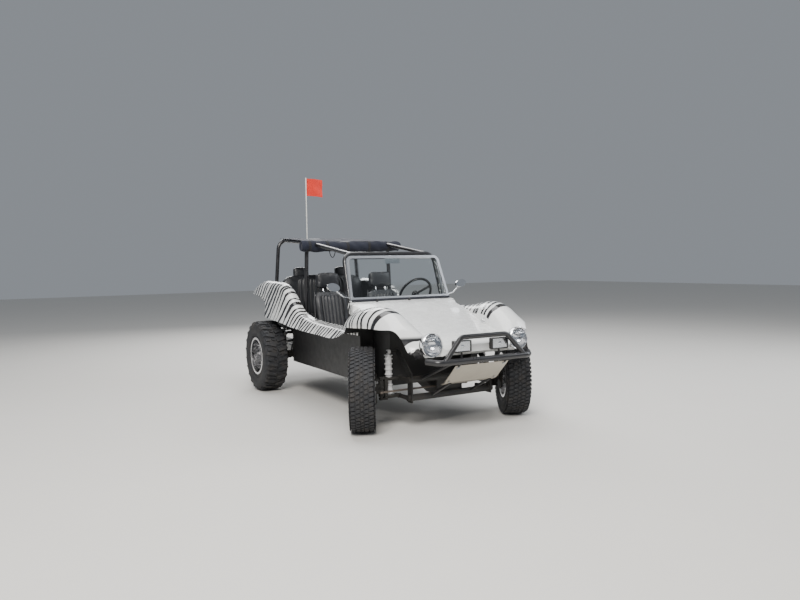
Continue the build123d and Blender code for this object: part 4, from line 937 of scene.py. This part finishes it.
def roll_point(low, high, t, turn, grow):
    """A point of the rolled top, t along it from -1 to 1 and turn about it."""
    x = (low.x + high.x) / 2.0 + t * (high.x - low.x) / 2.0
    lump = (0.055 * math.sin(5.0 * t + 2.0 * turn) + 0.040 * math.sin(13.0 * t - turn + 1.0)
            + 0.03 * math.sin(29.0 * t + 3.0 * turn))
    lap = 0.075 * (((turn + 0.35 * math.sin(4.0 * t)) / math.tau) % 1.0)
    pinch = sum(0.13 * math.exp(-((x - strap) / 0.030) ** 2) for strap in STRAPS)
    end = 0.12 * max(0.0, abs(t) - 0.93) / 0.07
    size = 0.90 + lump + lap - pinch - end
    middle_y, middle_z = (low.y + high.y) / 2.0, (low.z + high.z) / 2.0 - 0.006 * (1.0 - t * t)
    return Vector((x, middle_y + math.sin(turn) * ((high.y - low.y) / 2.0 * size + grow),
                   middle_z + math.cos(turn) * ((high.z - low.z) / 2.0 * size + grow)))


def wrap(bm, box, low_t, high_t, cuts, grow, closed):
    """A tube about the X axis laid on the roll's own surface."""
    made = bmesh.ops.create_cone(bm, cap_ends=closed, segments=72, radius1=1.0, radius2=1.0,
                                 depth=2.0)["verts"]
    along = [e for e in edges_of(made) if abs(e.verts[0].co.z - e.verts[1].co.z) > 1.0]
    bmesh.ops.subdivide_edges(bm, edges=along, cuts=cuts, use_grid_fill=True)
    for v in bm.verts:
        turn = math.atan2(v.co.x, v.co.y)
        v.co = roll_point(*box, low_t + (high_t - low_t) * (v.co.z + 1.0) / 2.0, turn, grow)


def roof_roll():
    """The rolled-up front of the top, lapped, lumpy and held by web straps, with a tie below it."""
    low, high = box = box_of("roof_roll")
    bm = bmesh.new()
    wrap(bm, box, -1.0, 1.0, 180, 0.0, True)
    for face in [f for f in bm.faces if len(f.verts) > 4]:
        bmesh.ops.inset_region(bm, faces=[face], thickness=0.012, depth=-0.010)
    piece = add_piece("rolled_top", bm, "chassis", "top_cloth_and_painted_sky", 70.0)
    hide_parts("roof_roll")
    straps = bmesh.new()
    for strap in STRAPS:
        t = (strap - (low.x + high.x) / 2.0) / ((high.x - low.x) / 2.0)
        band = bmesh.new()
        wrap(band, box, t - 0.024, t + 0.024, 4, 0.0035, False)
        bmesh.ops.solidify(band, geom=band.faces, thickness=0.002)
        join(straps, band)
    middle_y = (low.y + high.y) / 2.0
    tie = ((-0.265, 0.0, 0.012), (-0.255, -0.004, -0.040), (-0.228, 0.0, -0.066), (-0.202, 0.004, -0.040),
           (-0.192, 0.0, 0.012))
    join(straps, pipe([Vector((x, middle_y + y, low.z + z)) for x, y, z in tie], 0.0045))
    add_piece("roll_straps", straps, "chassis", "strap_web", 60.0)


def flag_sheet():
    """The whip's flag, waving more towards its free edge."""
    low, high = box_of("whip_flag")
    bm = bmesh.new()
    grid = bmesh.ops.create_grid(bm, x_segments=40, y_segments=36, size=0.5)["verts"]
    for v in grid:
        u, w = v.co.x + 0.5, v.co.y + 0.5
        droop = 0.012 * u * u
        sway = 0.011 * math.sin(u * 7.5 + w * 1.4) * u ** 0.6 + 0.004 * math.sin(w * 9.0 + u * 4.0) * u
        v.co = Vector((low.x + u * (high.x - low.x) * 0.975, (low.y + high.y) / 2.0 + sway,
                       low.z + w * (high.z - low.z) - droop * (1.0 - 0.3 * w)))
    bmesh.ops.solidify(bm, geom=bm.faces, thickness=0.0008)
    piece = add_piece("flag_cloth", bm, "chassis", "flag_cloth", 60.0)
    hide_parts("whip_flag")


# Trim

def headlamps():
    """Chrome buckets, each with a bowl, a bulb and a glass dome, in place of the plain solids."""
    bowls, glass, bulbs = bmesh.new(), bmesh.new(), bmesh.new()
    low, high = box_of("headlamps")
    radius = (high.z - low.z) / 2.0
    bowl = [(-0.072, 0.0005), (-0.070, radius * 0.24), (-0.060, radius * 0.46), (-0.040, radius * 0.68),
            (-0.016, radius * 0.84), (0.006, radius - 0.012), (0.013, radius - 0.010),
            (0.020, radius - 0.009), (0.022, radius - 0.004), (0.018, radius), (-0.006, radius),
            (-0.010, radius - 0.003), (-0.026, radius * 0.93), (-0.050, radius * 0.80),
            (-0.074, radius * 0.60), (-0.090, radius * 0.36), (-0.0945, radius * 0.18), (-0.0948, 0.0005)]
    dome = [(0.034, 0.0005), (0.0325, radius * 0.35), (0.028, radius * 0.62), (0.019, radius * 0.82),
            (0.0125, radius - 0.0105), (0.0085, radius - 0.0125), (0.014, radius * 0.80),
            (0.023, radius * 0.62), (0.0285, radius * 0.35), (0.030, 0.0005)]
    bulb = [(-0.071, 0.0005), (-0.071, 0.014), (-0.052, 0.013), (-0.050, 0.009), (-0.030, 0.009),
            (-0.022, 0.006), (-0.019, 0.0005)]
    for s in (LEFT, RIGHT):
        centre = Vector((s * (high.x - radius), low.y + 0.022, (low.z + high.z) / 2.0))
        for bm, profile, steps in ((bowls, bowl, 56), (glass, dome, 56), (bulbs, bulb, 24)):
            lathe(bm, profile, centre, (0.0, -1.0, 0.0), steps)
    shells = add_piece("headlamp_shells", bowls, "chassis", "chrome", 40.0)
    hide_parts("headlamps")
    domes = add_piece("headlamp_domes", glass, "chassis", "lens_glass", 40.0)
    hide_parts("lamp_lenses")
    add_piece("headlamp_bulbs", bulbs, "chassis", "reflector", 40.0)


def fog_lights():
    """Reflector, bulb and ribbed lens inside each rectangular housing."""
    low, high = box_of("fog_lamps")
    plates, glass = bmesh.new(), bmesh.new()
    half_w, half_h = 0.0825, 0.046
    for s in (LEFT, RIGHT):
        x, y, z = s * (high.x - half_w), low.y, (low.z + high.z) / 2.0
        block(plates, (x - half_w + 0.009, y + 0.0068, z - half_h + 0.009),
              (x + half_w - 0.009, y + 0.0078, z + half_h - 0.009))
        made = bmesh.ops.create_uvsphere(plates, u_segments=24, v_segments=12, radius=0.014)["verts"]
        bmesh.ops.scale(plates, vec=(1.0, 0.22, 1.0), verts=made)
        bmesh.ops.translate(plates, vec=(x, y + 0.0066, z), verts=made)
        block(glass, (x - half_w + 0.0085, y + 0.0006, z - half_h + 0.0085),
              (x + half_w - 0.0085, y + 0.0034, z + half_h - 0.0085), bevel=0.0008)
    add_piece("fog_reflectors", plates, "chassis", "reflector", 30.0)
    lens = add_piece("fog_lenses", glass, "chassis", "lens_glass", 30.0)
    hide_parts("lamp_lenses")


def bolts():
    """Bolt heads on the skid plate, where its straps hold it."""
    bm = bmesh.new()
    facing = Vector((0.0, -0.70, -0.714))
    for x in (-228, 228):
        prism(bm, at(x, -588, 572), facing, 0.013, 0.008, 6, 0.0015)
        prism(bm, at(x, -588, 572), facing, 0.018, 0.002, 20)
        prism(bm, at(x, -456, 441), facing, 0.010, 0.006, 6, 0.001)
    add_piece("skid_bolts", bm, "chassis", "bright_bolt", 30.0)


def screen_seal():
    """Rubber under the windscreen frame, and the wipers' bare spindles ahead of it."""
    low, high = box_of("windscreen_frame")
    bm = bmesh.new()
    block(bm, low + Vector((0.006, -0.012, -0.012)),
          Vector((high.x - 0.006, low.y + 0.010, low.z + 0.010)), bevel=0.004)
    add_piece("screen_seal", bm, "chassis", "seal_rubber", 40.0)
    spindles = bmesh.new()
    for x in (-290, 60):
        lathe(spindles, [(-0.004, 0.0005), (-0.004, 0.013), (0.006, 0.012), (0.010, 0.008), (0.020, 0.007),
                         (0.022, 0.0005)], at(x, 618, 1049), Vector((0.0, -0.25, 1.0)), 20)
    add_piece("wiper_spindles", spindles, "chassis", "black_plastic", 40.0)


# Stage

def make_stage():
    """The floor, the air, four area lights and the photograph's camera."""
    scene = bpy.context.scene
    settings = scene.buggy_stage
    bm = bmesh.new()
    bmesh.ops.create_grid(bm, x_segments=1, y_segments=1, size=settings.floor_span / 2.0)
    mesh = bpy.data.meshes.new("studio_floor")
    bm.to_mesh(mesh)
    bm.free()
    floor = bpy.data.objects.new("studio_floor", mesh)
    link(floor)
    material, t, shader = blank(settings.floor, 0.9)
    material.name = "floor_matt"
    patches = t.noise(t.place(), 1.5, 4.0, 0.5)
    tone = t.mix(patches, rgba(settings.floor, 0.97), rgba(settings.floor))
    t.put(tone, shader, "Base Color")
    mesh.materials.append(material)
    world = bpy.data.worlds.new("studio_air")
    scene.world = world
    world.use_nodes = True
    world.node_tree.nodes["Background"].inputs[0].default_value = SKY
    world.node_tree.nodes["Background"].inputs[1].default_value = SKY_STRENGTH
    for name, spot, span, power, tone in LIGHTS:
        data = bpy.data.lights.new(name, "AREA")
        data.shape = "SQUARE"
        data.size = span
        data.energy = power
        data.color = tone
        lamp = bpy.data.objects.new(name, data)
        lamp.location = spot
        lamp.rotation_euler = (LIT_SPOT - Vector(spot)).to_track_quat("-Z", "Y").to_euler()
        link(lamp)
    eye = bpy.data.cameras.new("photo_eye")
    eye.sensor_width = 36.0
    eye.lens = settings.lens
    camera = bpy.data.objects.new("photo_eye", eye)
    turn, lift, roll = math.radians(EYE_TURN), math.radians(EYE_LIFT), math.radians(EYE_ROLL)
    back = Vector((math.sin(turn) * math.cos(lift), -math.cos(turn) * math.cos(lift), math.sin(lift)))
    level = Vector((0, 0, 1)).cross(back).normalized()
    upright = back.cross(level)
    right = math.cos(roll) * level + math.sin(roll) * upright
    up = math.cos(roll) * upright - math.sin(roll) * level
    camera.matrix_world = Matrix.Translation(at(*EYE_SPOT)) @ Matrix((right, up, back)).transposed().to_4x4()
    link(camera)
    scene.camera = camera


# Operators

class BUGGY_OT_stage(bpy.types.Operator):
    """Set the floor, the lights and the camera"""
    bl_idname = "buggy.stage"
    bl_label = "Stage"

    def execute(self, context):
        make_stage()
        return {"FINISHED"}


class BUGGY_OT_finishes(bpy.types.Operator):
    """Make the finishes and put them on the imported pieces"""
    bl_idname = "buggy.finishes"
    bl_label = "Finishes"

    def execute(self, context):
        make_materials()
        for material, nodes in NODE_FINISH.items():
            for node in nodes:
                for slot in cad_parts[node].material_slots:
                    slot.material = MATERIALS[material]
        return {"FINISHED"}


class BUGGY_OT_tyres(bpy.types.Operator):
    """Make the four tyres with their tread, and the wheels' nuts and valves"""
    bl_idname = "buggy.tyres"
    bl_label = "Tyres"

    def execute(self, context):
        for label, side in SIDES:
            front_tyre(side, label)
            rear_tyre(side, label)
            for place in WHEELS:
                wheel_trim(place, side, label)
        return {"FINISHED"}


class BUGGY_OT_seats(bpy.types.Operator):
    """Upholster the front seats and the rear bench"""
    bl_idname = "buggy.seats"
    bl_label = "Seats"

    def execute(self, context):
        for label, side in SIDES:
            front_seat(side, label)
        rear_bench()
        stuff_pads()
        return {"FINISHED"}


class BUGGY_OT_cloth(bpy.types.Operator):
    """Make the top's cloth, its roll and the flag"""
    bl_idname = "buggy.cloth"
    bl_label = "Cloth"

    def execute(self, context):
        roof_sheet()
        roof_roll()
        flag_sheet()
        return {"FINISHED"}


class BUGGY_OT_lamps(bpy.types.Operator):
    """Make the headlamps and the fog lamps' insides"""
    bl_idname = "buggy.lamps"
    bl_label = "Lamps"

    def execute(self, context):
        headlamps()
        fog_lights()
        return {"FINISHED"}


class BUGGY_OT_trim(bpy.types.Operator):
    """Add the skid plate's bolts, the windscreen's seal and the wipers' spindles"""
    bl_idname = "buggy.trim"
    bl_label = "Trim"

    def execute(self, context):
        bolts()
        screen_seal()
        return {"FINISHED"}


OPERATORS = (BUGGY_OT_stage, BUGGY_OT_finishes, BUGGY_OT_tyres, BUGGY_OT_seats, BUGGY_OT_cloth,
             BUGGY_OT_lamps, BUGGY_OT_trim)


class BUGGY_PT_panel(bpy.types.Panel):
    """Sizes, colours and the steps that dress the buggy"""
    bl_idname = "BUGGY_PT_panel"
    bl_label = "Dune buggy"
    bl_space_type = "VIEW_3D"
    bl_region_type = "UI"
    bl_category = "Buggy"

    def draw(self, context):
        for operator in OPERATORS:
            self.layout.operator(operator.bl_idname)
        for name, group in SETTINGS:
            box = self.layout.box()
            for key in group.__annotations__:
                box.prop(getattr(context.scene, name), key)


def register():
    for name, group in SETTINGS:
        bpy.utils.register_class(group)
        setattr(bpy.types.Scene, name, PointerProperty(type=group))
    for operator in OPERATORS:
        bpy.utils.register_class(operator)
    bpy.utils.register_class(BUGGY_PT_panel)


def unregister():
    bpy.utils.unregister_class(BUGGY_PT_panel)
    for operator in reversed(OPERATORS):
        bpy.utils.unregister_class(operator)
    for name, group in reversed(SETTINGS):
        delattr(bpy.types.Scene, name)
        bpy.utils.unregister_class(group)


def main():
    register()
    for operator in OPERATORS:
        group, name = operator.bl_idname.split(".")
        getattr(getattr(bpy.ops, group), name)()


if __name__ == "__main__":
    main()
